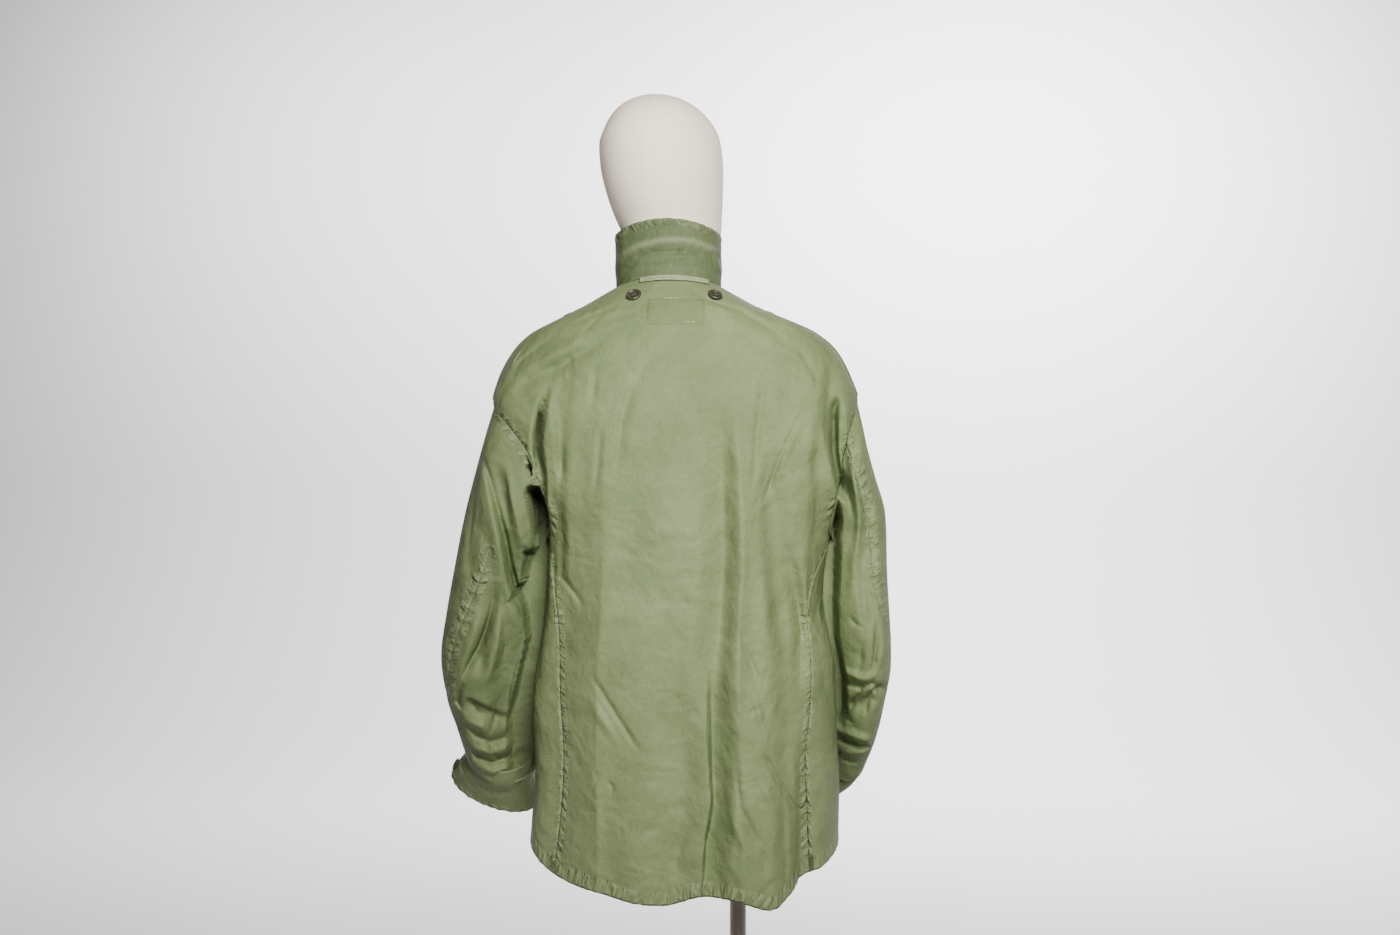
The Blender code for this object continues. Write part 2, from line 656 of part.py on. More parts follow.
def make_cuff(name, cloth):
    pair = cuff_surface(name)
    turns = [360.0 * j / SLEEVE_COLUMNS for j in range(SLEEVE_COLUMNS)]
    rows = [[pair(along, around, 0.0, CLOTH) for around in turns] for along in steps(0.0, 1.0, CUFF_ROWS)]
    add_wall(f"cuff_{name}", rows, cloth, closed=True)


def make_cuff_tab(name, cloth, horn):
    """The tab that tightens the cuff, buttoned down on the cuff's outer side."""
    pair = cuff_surface(name)
    lift = CLOTH / 2.0 + LAYER_GAP + PATCH_CLOTH / 2.0
    turns = steps(*CUFF_TAB_AROUND, CUFF_TAB_COLUMNS)
    rows = []
    for along in steps(*CUFF_TAB_ALONG, CUFF_TAB_ROWS):
        rows.append([pair(along, around, lift, PATCH_CLOTH) for around in turns])
    add_wall(f"cuff_tab_{name}", rows, cloth)
    outer, inner = pair(CUFF_BUTTON_ALONG, 0.0, lift, PATCH_CLOTH)
    axis = (outer - inner).normalized()
    add_button(f"cuff_button_{name}", outer + axis * BUTTON_GAP, axis, SMALL_BUTTON_RADIUS, horn)


def patch_rows(angles, levels, lift, thickness):
    """Pairs of a piece that lies on the jacket's body, moved out from its points."""
    rows = []
    for level in levels:
        line = []
        for angle in angles(level):
            normal = cloth_normal(level, angle)
            line.append(wall_pair(cloth_point(level, angle) + normal * lift, normal, thickness))
        rows.append(line)
    return rows


def layer_lift(layers_below):
    """How far a layer lies out, over the body's cloth and other layers of trimming."""
    step = PATCH_CLOTH + LAYER_GAP
    return CLOTH / 2.0 + LAYER_GAP + PATCH_CLOTH / 2.0 + layers_below * step


def front_grid(name):
    """Middle points and normals of a front, in rows from the hem and columns from centre front."""
    side = SLEEVES[name].side
    grid = []
    for centre, level, angle, _ in panel_rows(side, -1):
        line = []
        for j in range(FRONT_COLUMNS + 1):
            share = j / FRONT_COLUMNS
            here = centre + (level - centre) * share ** 2
            turned = side * (FRONT_EDGE - (FRONT_EDGE - angle) * share)
            line.append((cloth_point(here, turned), cloth_normal(here, turned)))
        grid.append(line)
    return grid


def grid_pair(grid, row, column, lift, thickness):
    """A pair that lies out from a place between a panel's own points."""
    i = min(int(row), len(grid) - 2)
    j = min(int(column), len(grid[0]) - 2)
    up = row - i
    on = column - j
    corners = (grid[i][j], grid[i][j + 1], grid[i + 1][j], grid[i + 1][j + 1])
    shares = ((1 - up) * (1 - on), (1 - up) * on, up * (1 - on), up * on)
    point = sum((corner[0] * share for corner, share in zip(corners, shares)), Vector())
    normal = sum((corner[1] * share for corner, share in zip(corners, shares)), Vector()).normalized()
    return wall_pair(point + normal * lift, normal, thickness)


def whole_between(first, last):
    """A patch's lines: its two borders and the panel's own lines between them."""
    own = [float(i) for i in range(math.ceil(first), math.floor(last) + 1)]
    return [first] + [i for i in own if first + PATCH_MARGIN < i < last - PATCH_MARGIN] + [last]


def hip_rows(name, near, far, low, high, layers):
    """Pairs of a patch on the lower front, on the panel's own rows and columns."""
    row_step = (UNDERARM_LEVEL - HEM_LEVEL) / SEAM_ROWS
    grid = front_grid(name)
    columns = whole_between(near * FRONT_COLUMNS, far * FRONT_COLUMNS)
    rows = whole_between((low - HEM_LEVEL) / row_step, (high - HEM_LEVEL) / row_step)
    lift = layer_lift(layers)
    return [[grid_pair(grid, row, column, lift, PATCH_CLOTH) for column in columns] for row in rows]


def chest_rows(name, first, last, low, high, layers):
    """Pairs of a patch on the chest, which is smooth."""
    angles = [SLEEVES[name].side * angle for angle in steps(first, last, CHEST_COLUMNS)]
    levels = steps(low, high, round((high - low) / CHEST_ROW))
    return patch_rows(lambda level: angles, levels, layer_lift(layers), PATCH_CLOTH)


def make_pockets(name, cloth):
    add_wall(f"chest_pocket_{name}", chest_rows(name, *CHEST_POCKET, 0), cloth)
    add_wall(f"chest_flap_{name}", chest_rows(name, *CHEST_FLAP, 1), cloth)
    add_wall(f"hip_pocket_{name}", hip_rows(name, *HIP_POCKET, 0), cloth)
    add_wall(f"hip_flap_{name}", hip_rows(name, *HIP_FLAP, 1), cloth)


def front_angle(level, reach):
    """The angle at which a place lies a given way to the wearer's left of centre front."""
    half_width = body_ring(level)[3]
    return 180.0 - math.degrees(math.asin(reach / half_width))


def make_fly(cloth, metal):
    reaches = steps(FLY_HALF_WIDTH, -FLY_HALF_WIDTH, FLY_COLUMNS)
    first, last = FLY_LEVELS
    own = [row[0] for row in panel_rows(1, 1) if first + FLY_ROW_MARGIN < row[0] < last]
    levels = [first] + own + [last]

    def angles(level):
        room = min(1.0, body_ring(level)[3] / FLY_NARROWS_BELOW)
        return [front_angle(level, reach * room) for reach in reaches]

    add_wall("fly", patch_rows(angles, levels, layer_lift(0), PATCH_CLOTH), cloth)
    dome = [(SNAP_RADIUS * share, height) for share, height in SNAP_PROFILE]
    for count, level in enumerate(SNAP_LEVELS, start=1):
        normal = cloth_normal(level, 180.0)
        place = cloth_point(level, 180.0) + normal * (layer_lift(0) + PATCH_CLOTH / 2.0 + LAYER_GAP)
        add_turned(f"snap_{count}", dome, metal, place, normal, sides=12)


def add_button(name, centre, axis, radius, material):
    profile = [(radius * share, height) for share, height in BUTTON_PROFILE]
    add_turned(name, profile, material, centre, axis, sides=14)


def make_shoulder_strap(name, cloth, horn):
    side = SLEEVES[name].side

    def angles(level):
        depth = (body_ring(level)[4] + body_ring(level)[5]) / 2.0
        swing = math.degrees(math.asin(STRAP_HALF_WIDTH / depth))
        return [side * (90.0 + share * swing) for share in steps(-1.0, 1.0, STRAP_COLUMNS)]

    add_wall(f"shoulder_strap_{name}", patch_rows(angles, STRAP_LEVELS, layer_lift(0), PATCH_CLOTH), cloth)
    angle = side * 90.0
    normal = cloth_normal(STRAP_BUTTON_LEVEL, angle)
    lift = layer_lift(0) + PATCH_CLOTH / 2.0 + LAYER_GAP
    centre = cloth_point(STRAP_BUTTON_LEVEL, angle) + normal * lift
    add_button(f"strap_button_{name}", centre, normal, SMALL_BUTTON_RADIUS, horn)


def place_on_back(x, z):
    """Level and angle of the place on the back that lies at a given x and z."""
    level = z
    angle = 0.0
    for _ in range(30):
        here = cloth_point(level, angle)
        half_width = body_ring(level)[3]
        angle += math.degrees((x - here.x) / half_width)
        level += z - here.z
    return level, angle


def make_hood_buttons(horn):
    for name, x in zip(("left", "right"), HOOD_BUTTON_X):
        level, angle = place_on_back(x, HOOD_BUTTON_Z)
        normal = cloth_normal(level, angle)
        centre = cloth_point(level, angle) + normal * (CLOTH / 2.0 + HOOD_BUTTON_GAP)
        add_button(f"hood_button_{name}", centre, normal, HOOD_BUTTON_RADIUS, horn)


def make_hanger_loop(cloth):
    def angles(level):
        half_width = body_ring(level)[3]
        ends = [math.degrees(math.asin(reach / half_width)) for reach in LOOP_REACH]
        return steps(*ends, LOOP_COLUMNS)

    lift = layer_lift(0) + LOOP_SLACK
    add_wall("hanger_loop", patch_rows(angles, steps(*LOOP_LEVELS, 1), lift, PATCH_CLOTH), cloth)


def collar_point(height, angle):
    """The stand-up collar's middle surface, from inside the neck seam at 0 to its top edge at 1."""
    side_z, front_z, middle_x, half_width, back_depth, front_depth, _ = body_ring(NECK_LEVEL)
    base = (NECK_LEVEL - COLLAR_BASE_DROP, side_z - COLLAR_BASE_DROP, front_z - COLLAR_BASE_DROP, middle_x,
            half_width - COLLAR_BASE_INSET, back_depth - COLLAR_BASE_INSET, front_depth - COLLAR_BASE_INSET)
    mixed = [low + (high - low) * height for low, high in zip(base, COLLAR_TOP)]
    back_z, side_z, front_z, middle_x, half_width, back_depth, front_depth = mixed
    sine = math.sin(math.radians(angle))
    cosine = math.cos(math.radians(angle))
    depth = back_depth if cosine > 0.0 else front_depth
    end_z = back_z if cosine > 0.0 else front_z
    z = side_z * sine ** 2 + end_z * cosine ** 2
    return Vector((middle_x + half_width * sine, depth * cosine, z))


def make_collar(cloth):
    reach = FRONT_EDGE - COLLAR_OPENING
    rows = []
    for height in steps(0.0, 1.0, COLLAR_ROWS):
        line = []
        for angle in steps(-reach, reach, COLLAR_COLUMNS):
            up = collar_point(height + 0.05, angle) - collar_point(height - 0.05, angle)
            across = collar_point(height, angle + 1.0) - collar_point(height, angle - 1.0)
            line.append(wall_pair(collar_point(height, angle), up.cross(across).normalized(), COLLAR_CLOTH))
        rows.append(line)
    add_wall("collar", rows, cloth)


def form_ring(row):
    """A level oval of the dress form; the head's ovals turn about the upright axis."""
    z, middle_x, middle_y, half_width, half_depth = row
    turn = math.radians(HEAD_TURN) * ramp(z, HEAD_TURN_HEIGHTS)
    ring = []
    for j in range(FORM_COLUMNS):
        round_it = math.tau * j / FORM_COLUMNS
        across = half_width * math.sin(round_it)
        back = half_depth * math.cos(round_it)
        x = middle_x + across * math.cos(turn) + back * math.sin(turn)
        y = middle_y + back * math.cos(turn) - across * math.sin(turn)
        ring.append(Vector((x, y, z)))
    return ring


def shoulder_ring(level):
    """The form's shoulder just under the jacket: it carries the cloth along the shoulder seam."""
    ring = []
    for j in range(FORM_COLUMNS):
        angle = 360.0 * j / FORM_COLUMNS
        ease_in = SHOULDER_EASE * math.cos(math.radians(angle)) ** 2
        inset = CLOTH / 2.0 + RIDGE_CLEARANCE + ease_in
        normal = surface_normal(ring_point, level, angle)
        ring.append(ring_point(level, angle) - normal * inset)
    return ring


def neck_ring():
    """The form's neck where it leaves the jacket, inside the collar and tilted like it."""
    middle = Vector((body_ring(NECK_LEVEL)[2], 0.0, 0.0))
    ring = []
    for j in range(FORM_COLUMNS):
        point = ring_point(NECK_LEVEL, 360.0 * j / FORM_COLUMNS)
        away = Vector((point.x - middle.x, point.y, 0.0)).normalized()
        ring.append(point - away * FORM_NECK_INSET - Vector((0.0, 0.0, FORM_NECK_DROP)))
    return ring


def make_form(linen):
    shape = bmesh.new()
    rings = [form_ring(row) for row in FORM_TRUNK]
    rings += [shoulder_ring(level) for level in FORM_SEAT_LEVELS]
    rings.append(neck_ring())
    rings += [form_ring(row) for row in FORM_HEAD]
    loops = [[shape.verts.new(point) for point in ring] for ring in rings]
    crown = shape.verts.new(FORM_CROWN)
    for j in range(FORM_COLUMNS):
        k = (j + 1) % FORM_COLUMNS
        for lower, upper in zip(loops, loops[1:]):
            shape.faces.new((lower[j], lower[k], upper[k], upper[j]))
        shape.faces.new((crown, loops[-1][j], loops[-1][k]))
    shape.faces.new(loops[0])
    add_object("form", shape, linen, sharp=60.0)


def make_stand(metal, dark_metal):
    underside = FORM_TRUNK[0][0]
    flange_low = underside - STACK_GAP - FLANGE_HEIGHT
    flange = ((0.0, flange_low), (FLANGE_RADIUS, flange_low), (FLANGE_RADIUS, flange_low + FLANGE_HEIGHT),
              (0.0, flange_low + FLANGE_HEIGHT))
    add_turned("pole_flange", flange, metal, sides=24)
    low = HUB_TOP + STACK_GAP
    high = flange_low - STACK_GAP
    add_turned("pole", ((0.0, low), (POLE_RADIUS, low), (POLE_RADIUS, high), (0.0, high)), metal, sides=20)
    add_turned("base", BASE_PROFILE, dark_metal, sides=48)


def make_all():
    for piece in list(bpy.data.objects):
        bpy.data.objects.remove(piece)
    cloth = finish("olive_sateen", (0.20, 0.25, 0.13), 0.75)
    trim = finish("olive_trim", (0.18, 0.23, 0.12), 0.75)
    horn = finish("dark_olive_button", (0.045, 0.045, 0.025), 0.4)
    snap_metal = finish("dark_snap_cap", (0.06, 0.06, 0.045), 0.4, 0.8)
    linen = finish("cream_linen", (0.80, 0.70, 0.55), 0.9)
    pole_metal = finish("grey_brown_pole", (0.20, 0.18, 0.16), 0.4, 0.9)
    base_metal = finish("dark_base_plate", (0.08, 0.08, 0.08), 0.45, 0.8)
    make_back(cloth)
    make_collar(cloth)
    make_fly(trim, snap_metal)
    make_hood_buttons(horn)
    make_hanger_loop(trim)
    for name in SLEEVES:
        make_front(name, cloth)
        make_sleeve(name, cloth)
        make_cuff(name, cloth)
        make_cuff_tab(name, trim, horn)
        make_shoulder_strap(name, trim, horn)
        make_pockets(name, trim)
    make_form(linen)
    make_stand(pole_metal, base_metal)


make_all()
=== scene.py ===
# %% [markdown]
# Field jacket on a dress form
#
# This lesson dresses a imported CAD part. The part holds the true sizes: walls of cloth 2 mm thick,
# buttons, a dress form on a pole. Here each wall is replaced by a sheet of cloth with its creases,
# seams and weave. Everything is in metres, with +Z up. The jacket's back faces +Y, and the
# wearer's left is +X, so a viewer behind the jacket sees +X on the left.

# %% Load the fixed frame
import math

import bmesh
import bpy
import numpy as np
from mathutils import Matrix, Vector


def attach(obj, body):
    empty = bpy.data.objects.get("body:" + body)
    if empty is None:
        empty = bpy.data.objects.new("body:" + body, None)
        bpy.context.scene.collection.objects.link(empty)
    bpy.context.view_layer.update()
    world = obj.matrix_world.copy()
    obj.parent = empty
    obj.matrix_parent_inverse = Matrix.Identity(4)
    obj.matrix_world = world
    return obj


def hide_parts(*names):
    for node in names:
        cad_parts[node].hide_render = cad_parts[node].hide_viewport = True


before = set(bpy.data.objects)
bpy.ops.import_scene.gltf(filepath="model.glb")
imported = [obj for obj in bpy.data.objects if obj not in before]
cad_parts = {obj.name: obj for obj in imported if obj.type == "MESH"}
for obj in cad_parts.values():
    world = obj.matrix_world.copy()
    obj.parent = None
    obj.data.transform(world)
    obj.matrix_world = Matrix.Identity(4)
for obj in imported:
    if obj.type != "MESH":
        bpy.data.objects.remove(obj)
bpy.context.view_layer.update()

# %% [markdown]
# The jacket's body is a stack of slanted rings. A ring could be drawn as a curve and lofted by hand,
# but then no seam would have a place of its own. A formula gives each point of the cloth a level
# and an angle, so that panels, seams and pockets all ask the same function where they lie.
# The rings repeat the CAD part's own driving sizes. So do the large folds, apart from two that the
# deep creases further down draw instead.

# %% Rings of the body
HEM_LEVEL = 0.740
UNDERARM_LEVEL = 1.175
ARMHOLE_TOP_LEVEL = 1.358
NECK_LEVEL = 1.504
BODY_LEVELS = (0.740, 0.860, 0.985, 1.085, 1.175, 1.265, 1.358, 1.395, 1.428, 1.455, 1.480, 1.504)
# side_z, front_z, middle_x, half_width, back_depth, front_depth, squareness
BODY_RINGS = (
    (0.772, 0.746, 0.0710, 0.2040, 0.152, 0.155, 2.20),
    (0.872, 0.862, 0.0673, 0.1998, 0.150, 0.152, 2.20),
    (0.990, 0.985, 0.0675, 0.1955, 0.146, 0.148, 2.20),
    (1.088, 1.085, 0.0710, 0.1835, 0.142, 0.143, 2.30),
    (1.168, 1.168, 0.0680, 0.1825, 0.140, 0.138, 2.40),
    (1.255, 1.250, 0.0740, 0.2200, 0.139, 0.134, 2.40),
    (1.345, 1.335, 0.0832, 0.2415, 0.130, 0.124, 2.30),
    (1.377, 1.368, 0.0850, 0.2325, 0.121, 0.116, 2.25),
    (1.410, 1.398, 0.0855, 0.2150, 0.111, 0.107, 2.20),
    (1.433, 1.420, 0.0885, 0.1910, 0.100, 0.099, 2.15),
    (1.463, 1.445, 0.0920, 0.1290, 0.083, 0.088, 2.10),
    (1.496, 1.462, 0.0920, 0.0720, 0.064, 0.075, 2.00),
)


def smooth_table(keys, rows):
    """Return a function that reads every column of a table at any keys, on monotone cubic curves."""
    keys = np.array(keys)
    values = np.array(rows, dtype=float)
    steps = np.diff(keys)[:, None]
    rises = np.diff(values, axis=0) / steps
    before = 2.0 * steps[1:] + steps[:-1]
    after = steps[1:] + 2.0 * steps[:-1]
    with np.errstate(divide="ignore", invalid="ignore"):
        inner = (before + after) / (before / rises[:-1] + after / rises[1:])
    inner = np.where(rises[:-1] * rises[1:] > 0.0, inner, 0.0)
    slopes = np.concatenate((rises[:1], inner, rises[-1:]))

    def read(at):
        at = np.clip(np.asarray(at, dtype=float), keys[0], keys[-1])
        i = np.clip(np.searchsorted(keys, at) - 1, 0, len(steps) - 1)
        step = steps[i]
        t = (at - keys[i])[..., None] / step
        start = (1.0 + 2.0 * t) * (1.0 - t) ** 2
        end = t * t * (3.0 - 2.0 * t)
        leave = t * (1.0 - t) ** 2 * step
        arrive = t * t * (t - 1.0) * step
        return start * values[i] + end * values[i + 1] + leave * slopes[i] + arrive * slopes[i + 1]

    return read


def ease(t):
    """Smooth step from 0 to 1."""
    t = np.clip(t, 0.0, 1.0)
    return t * t * (3.0 - 2.0 * t)


def ramp(value, first, last):
    """Smooth step from 0 at first to 1 at last."""
    return ease((value - first) / (last - first))


def sine_cosine(degrees):
    turn = np.radians(degrees)
    return np.sin(turn), np.cos(turn)


body_ring = smooth_table(BODY_LEVELS, BODY_RINGS)
print("waist half width", float(body_ring(1.10)[3]))

# %% Large folds and the hanging hem
HEM_SWAG_HEIGHT = 0.110
SHOULDER_TILT = 0.003
FOLD_END_FADE = 0.22
FOLD_SIDE_FADE = 0.035
# side (+1 back, -1 front), x, half_width, rise at the hem
HEM_SWAGS = (
    (1, 0.0460, 0.050, 0.0110),
    (1, -0.0400, 0.055, -0.0130),
    (1, 0.1350, 0.090, 0.0030),
    (-1, 0.0900, 0.070, 0.0040),
)
# side (+1 back, -1 front), x_top, z_top, x_low, z_low, width_top, width_low, height_top, height_low
BODY_FOLDS = (
    (1, -0.0260, 1.180, -0.0260, 0.640, 0.026, 0.038, 0.003, 0.022),
    (1, -0.0330, 1.290, -0.0480, 1.020, 0.024, 0.024, -0.009, -0.008),
    (1, -0.0810, 0.960, -0.0810, 0.660, 0.020, 0.024, -0.005, -0.014),
    (1, 0.1200, 1.150, 0.1230, 0.660, 0.046, 0.050, 0.004, 0.012),
    (1, 0.2220, 1.400, 0.2330, 1.230, 0.026, 0.026, -0.006, -0.008),
    (1, 0.2330, 1.300, 0.2330, 1.090, 0.024, 0.024, -0.007, -0.007),
    (1, -0.1130, 1.400, -0.1010, 1.240, 0.024, 0.024, -0.006, -0.009),
    (1, -0.1020, 1.300, -0.0980, 1.020, 0.024, 0.024, -0.008, -0.008),
    (-1, 0.1500, 1.020, 0.1560, 0.640, 0.050, 0.056, 0.003, 0.010),
    (-1, -0.0200, 1.020, -0.0260, 0.640, 0.050, 0.056, 0.003, 0.010),
    (-1, 0.2300, 1.060, 0.2340, 0.640, 0.040, 0.044, -0.003, -0.008),
    (-1, -0.1020, 1.060, -0.1060, 0.640, 0.040, 0.044, -0.003, -0.008),
)


def fold_lift(points, folds):
    """How far the large folds near each point push the cloth out of its plain form."""
    x, y, z = np.moveaxis(points, -1, 0)
    lift = np.zeros(x.shape)
    for side, x_top, z_top, x_low, z_low, width_top, width_low, height_top, height_low in folds:
        run_x = x_low - x_top
        run_z = z_low - z_top
        length = math.hypot(run_x, run_z)
        along = ((x - x_top) * run_x + (z - z_top) * run_z) / length ** 2
        across = np.abs((x - x_top) * run_z - (z - z_top) * run_x) / length
        half_width = width_top + (width_low - width_top) * along
        inside = (y * side > 0.0) & (along > 0.0) & (along < 1.0) & (across < half_width)
        ends = ease(along / FOLD_END_FADE) * ease((1.0 - along) / FOLD_END_FADE)
        height = height_top + (height_low - height_top) * along
        wave = 0.5 + 0.5 * np.cos(np.pi * across / np.where(inside, half_width, 1.0))
        lift += np.where(inside, height * ends * wave, 0.0)
    return lift * ease(np.abs(y) / FOLD_SIDE_FADE)


def hem_swag(x, y):
    """How far the hem rises at a place, where the cloth hangs unevenly."""
    rise = np.zeros(x.shape)
    for side, middle, half_width, height in HEM_SWAGS:
        away = np.abs(x - middle)
        wave = height * (0.5 + 0.5 * np.cos(np.pi * away / half_width))
        rise += np.where((y * side > 0.0) & (away < half_width), wave, 0.0)
    return rise * ease(np.abs(y) / FOLD_SIDE_FADE)


def ring_point(level, angle):
    """A point of the plain body. The angle runs from centre back towards the wearer's left."""
    columns = np.moveaxis(body_ring(level), -1, 0)
    side_z, front_z, middle_x, half_width, back_depth, front_depth, squareness = columns
    sine, cosine = sine_cosine(angle)
    swell = (np.abs(sine) ** squareness + np.abs(cosine) ** squareness) ** (-1.0 / squareness)
    x = middle_x + half_width * swell * sine
    y = np.where(cosine > 0.0, back_depth, front_depth) * swell * cosine
    z = side_z * sine ** 2 + np.where(cosine > 0.0, level, front_z) * cosine ** 2
    swag = hem_swag(x, y) * (1.0 - ease((level - HEM_LEVEL) / HEM_SWAG_HEIGHT))
    tilt = SHOULDER_TILT * sine * (ramp(level, 1.180, 1.380) - ramp(level, 1.450, 1.500))
    return np.stack((x, y, z + swag - tilt), axis=-1)


def unit(vectors):
    return vectors / np.maximum(np.linalg.norm(vectors, axis=-1, keepdims=True), 1e-12)


def surface_normal(surface, level, angle, level_step=0.002, angle_step=0.6):
    """The outward normal of a body surface, from its slopes up and round."""
    low = np.maximum(level - level_step, HEM_LEVEL)
    high = np.minimum(level + level_step, NECK_LEVEL)
    up = surface(high, angle) - surface(low, angle)
    across = surface(level, angle + angle_step) - surface(level, angle - angle_step)
    return unit(np.cross(up, across))


def cloth_point(level, angle):
    """The middle of the cloth at a level and an angle, with its large folds."""
    level, angle = np.broadcast_arrays(np.asarray(level, float), np.asarray(angle, float))
    point = ring_point(level, angle)
    normal = surface_normal(ring_point, level, angle)
    return point + normal * fold_lift(point, BODY_FOLDS)[..., None]


print("centre back at the hem", cloth_point(HEM_LEVEL, 0.0).round(3))

# %% [markdown]
# The armhole is one closed curve on the body. Both the panels and the sleeve end on it, so it is
# a function too: around is 0 on top of the shoulder, 90 at the back and 180 under the arm.

# %% Armholes and panel lines
# how many degrees each armhole seam swings in from the side, at the back of each side and in front
BACK_SWING = {1: 38.0, -1: 29.0}
FRONT_SWING = 36.0
SIDES = {"left": 1, "right": -1}
SIDE_SEAM_LEVELS = (0.740, 0.900, 1.000, 1.090, 1.150, 1.175)
SIDE_SEAM_ANGLES = ((50.0,), (47.5,), (51.0,), (58.0,), (75.0,), (90.0,))
side_seam = smooth_table(SIDE_SEAM_LEVELS, SIDE_SEAM_ANGLES)


def armhole_place(around, side):
    """Level and angle of the armhole seam of one side (+1 is the wearer's left)."""
    sine, cosine = sine_cosine(around)
    swing = np.where(sine > 0.0, BACK_SWING[side], FRONT_SWING)
    middle = (UNDERARM_LEVEL + ARMHOLE_TOP_LEVEL) / 2.0
    reach = (ARMHOLE_TOP_LEVEL - UNDERARM_LEVEL) / 2.0
    return middle + reach * cosine, side * (90.0 - swing * sine)


def armhole_point(around, side):
    return cloth_point(*armhole_place(around, side))


def panel_edge(up, side, back):
    """Centre level, edge level and edge angle of a panel's line.

    Up is 0 at the hem, 1 under the arm, 2 on the shoulder point and 3 at the neck. Back is +1 for
    the back and -1 for a front.
    """
    under = HEM_LEVEL + (UNDERARM_LEVEL - HEM_LEVEL) * up
    around = 180.0 - back * 180.0 * np.clip(up - 1.0, 0.0, 1.0)
    hole_level, hole_angle = armhole_place(around, side)
    hole_centre = UNDERARM_LEVEL + (ARMHOLE_TOP_LEVEL - UNDERARM_LEVEL) * (up - 1.0)
    over = ARMHOLE_TOP_LEVEL + (NECK_LEVEL - ARMHOLE_TOP_LEVEL) * (up - 2.0)
    centre = np.select((up <= 1.0, up < 2.0), (under, hole_centre), over)
    level = np.select((up <= 1.0, up < 2.0), (under, hole_level), over)
    angle = np.select((up <= 1.0, up < 2.0), (side_seam(under)[..., 0], np.abs(hole_angle)), 90.0)
    return centre, level, angle


print("left armhole height", float(np.ptp(armhole_point(np.arange(0.0, 360.0, 10.0), 1)[:, 2])))

# %% [markdown]
# Sheets start as a flat bmesh grid. Its vertices keep their order, row after row, so numpy can move
# all of them at once. That is far quicker than a loop, and the shape stays a formula.

# %% Sheets from a grid
CLOTH = 0.002
SHEET_THICKNESS = 0.0011


def spread(first, last, count):
    return np.linspace(first, last, count + 1)


def lengths_along(points, axis):
    """Distance walked from the first point along an axis of a grid of points."""
    steps = np.linalg.norm(np.diff(points, axis=axis), axis=-1)
    zero = np.zeros_like(np.take(steps, [0], axis=axis))
    return np.concatenate((zero, np.cumsum(steps, axis=axis)), axis=axis)


def grid_normals(points, closed=False):
    """Unit normals of a grid of points, rows up and columns across."""
    up = np.gradient(points, axis=0)
    if closed:
        wrapped = np.concatenate((points[:, -2:-1], points, points[:, 1:2]), axis=1)
        across = np.gradient(wrapped, axis=1)[:, 1:-1]
    else:
        across = np.gradient(points, axis=1)
    return unit(np.cross(across, up))


def lay_sheet(name, points, closed=False, thickness=SHEET_THICKNESS, marks=None, offset=-1.0):
    """Turn a grid of points into a sheet of cloth with a map in metres and named marks."""
    rows, columns = points.shape[:2]
    shape = bmesh.new()
    bmesh.ops.create_grid(shape, x_segments=columns - 1, y_segments=rows - 1, size=0.5)
    mesh = bpy.data.meshes.new(name)
    shape.to_mesh(mesh)
    shape.free()
    flat = np.empty(len(mesh.vertices) * 3)
    mesh.vertices.foreach_get("co", flat)
    flat = flat.reshape(-1, 3).round(5)
    order = np.lexsort((flat[:, 0], flat[:, 1]))
    placed = np.empty_like(flat)
    placed[order] = points.reshape(-1, 3)
    mesh.vertices.foreach_set("co", placed.ravel())
    around = lengths_along(points, 1)
    upward = lengths_along(points, 0)
    middle = around[:, [columns // 2]]
    cloth_map = np.empty((len(flat), 2))
    cloth_map[order, 0] = (around - middle).ravel()
    cloth_map[order, 1] = np.broadcast_to(upward.mean(axis=1, keepdims=True), around.shape).ravel()
    corners = np.empty(len(mesh.loops), dtype=int)
    mesh.loops.foreach_get("vertex_index", corners)
    layer = mesh.uv_layers.new(name="cloth_map")
    layer.data.foreach_set("uv", cloth_map[corners].ravel())
    for label, values in (marks or {}).items():
        kind = "FLOAT_VECTOR" if values.ndim == 3 else "FLOAT"
        mark = mesh.attributes.new(label, kind, "POINT")
        sorted_values = np.empty((len(flat),) + values.shape[2:], dtype=np.float32)
        sorted_values[order] = values.reshape((-1,) + values.shape[2:])
        field = "vector" if values.ndim == 3 else "value"
        mark.data.foreach_set(field, sorted_values.ravel())
    if closed:
        shape = bmesh.new()
        shape.from_mesh(mesh)
        bmesh.ops.remove_doubles(shape, verts=shape.verts, dist=1e-6)
        shape.to_mesh(mesh)
        shape.free()
    mesh.shade_smooth()
    sheet = bpy.data.objects.new(name, mesh)
    bpy.context.scene.collection.objects.link(sheet)
    if thickness:
        wall = sheet.modifiers.new("cloth thickness", "SOLIDIFY")
        wall.thickness = thickness
        wall.offset = offset
    print(name, len(mesh.polygons), "faces")
    return sheet


print("sheets are", SHEET_THICKNESS * 1000, "mm thick")

# %% [markdown]
# The small creases are where this jacket's character is. Each is a line on a picture: the back ones
# lie on the photograph's own frame of 1400 x 935 pixels, and the front ones on a plain front view
# in millimetres. A crease has a height in millimetres at each point of its line and fades out to
# two widths. Widths that differ turn one side into a steep edge, as where cloth laps over itself.

# %% Where the camera stands, and creases on a picture
CAMERA_PLACE = (0.0507, 1.335, 1.260)
FOCAL_PIXELS = 1000.0
FRAME_PIXELS = (1400.0, 935.0)


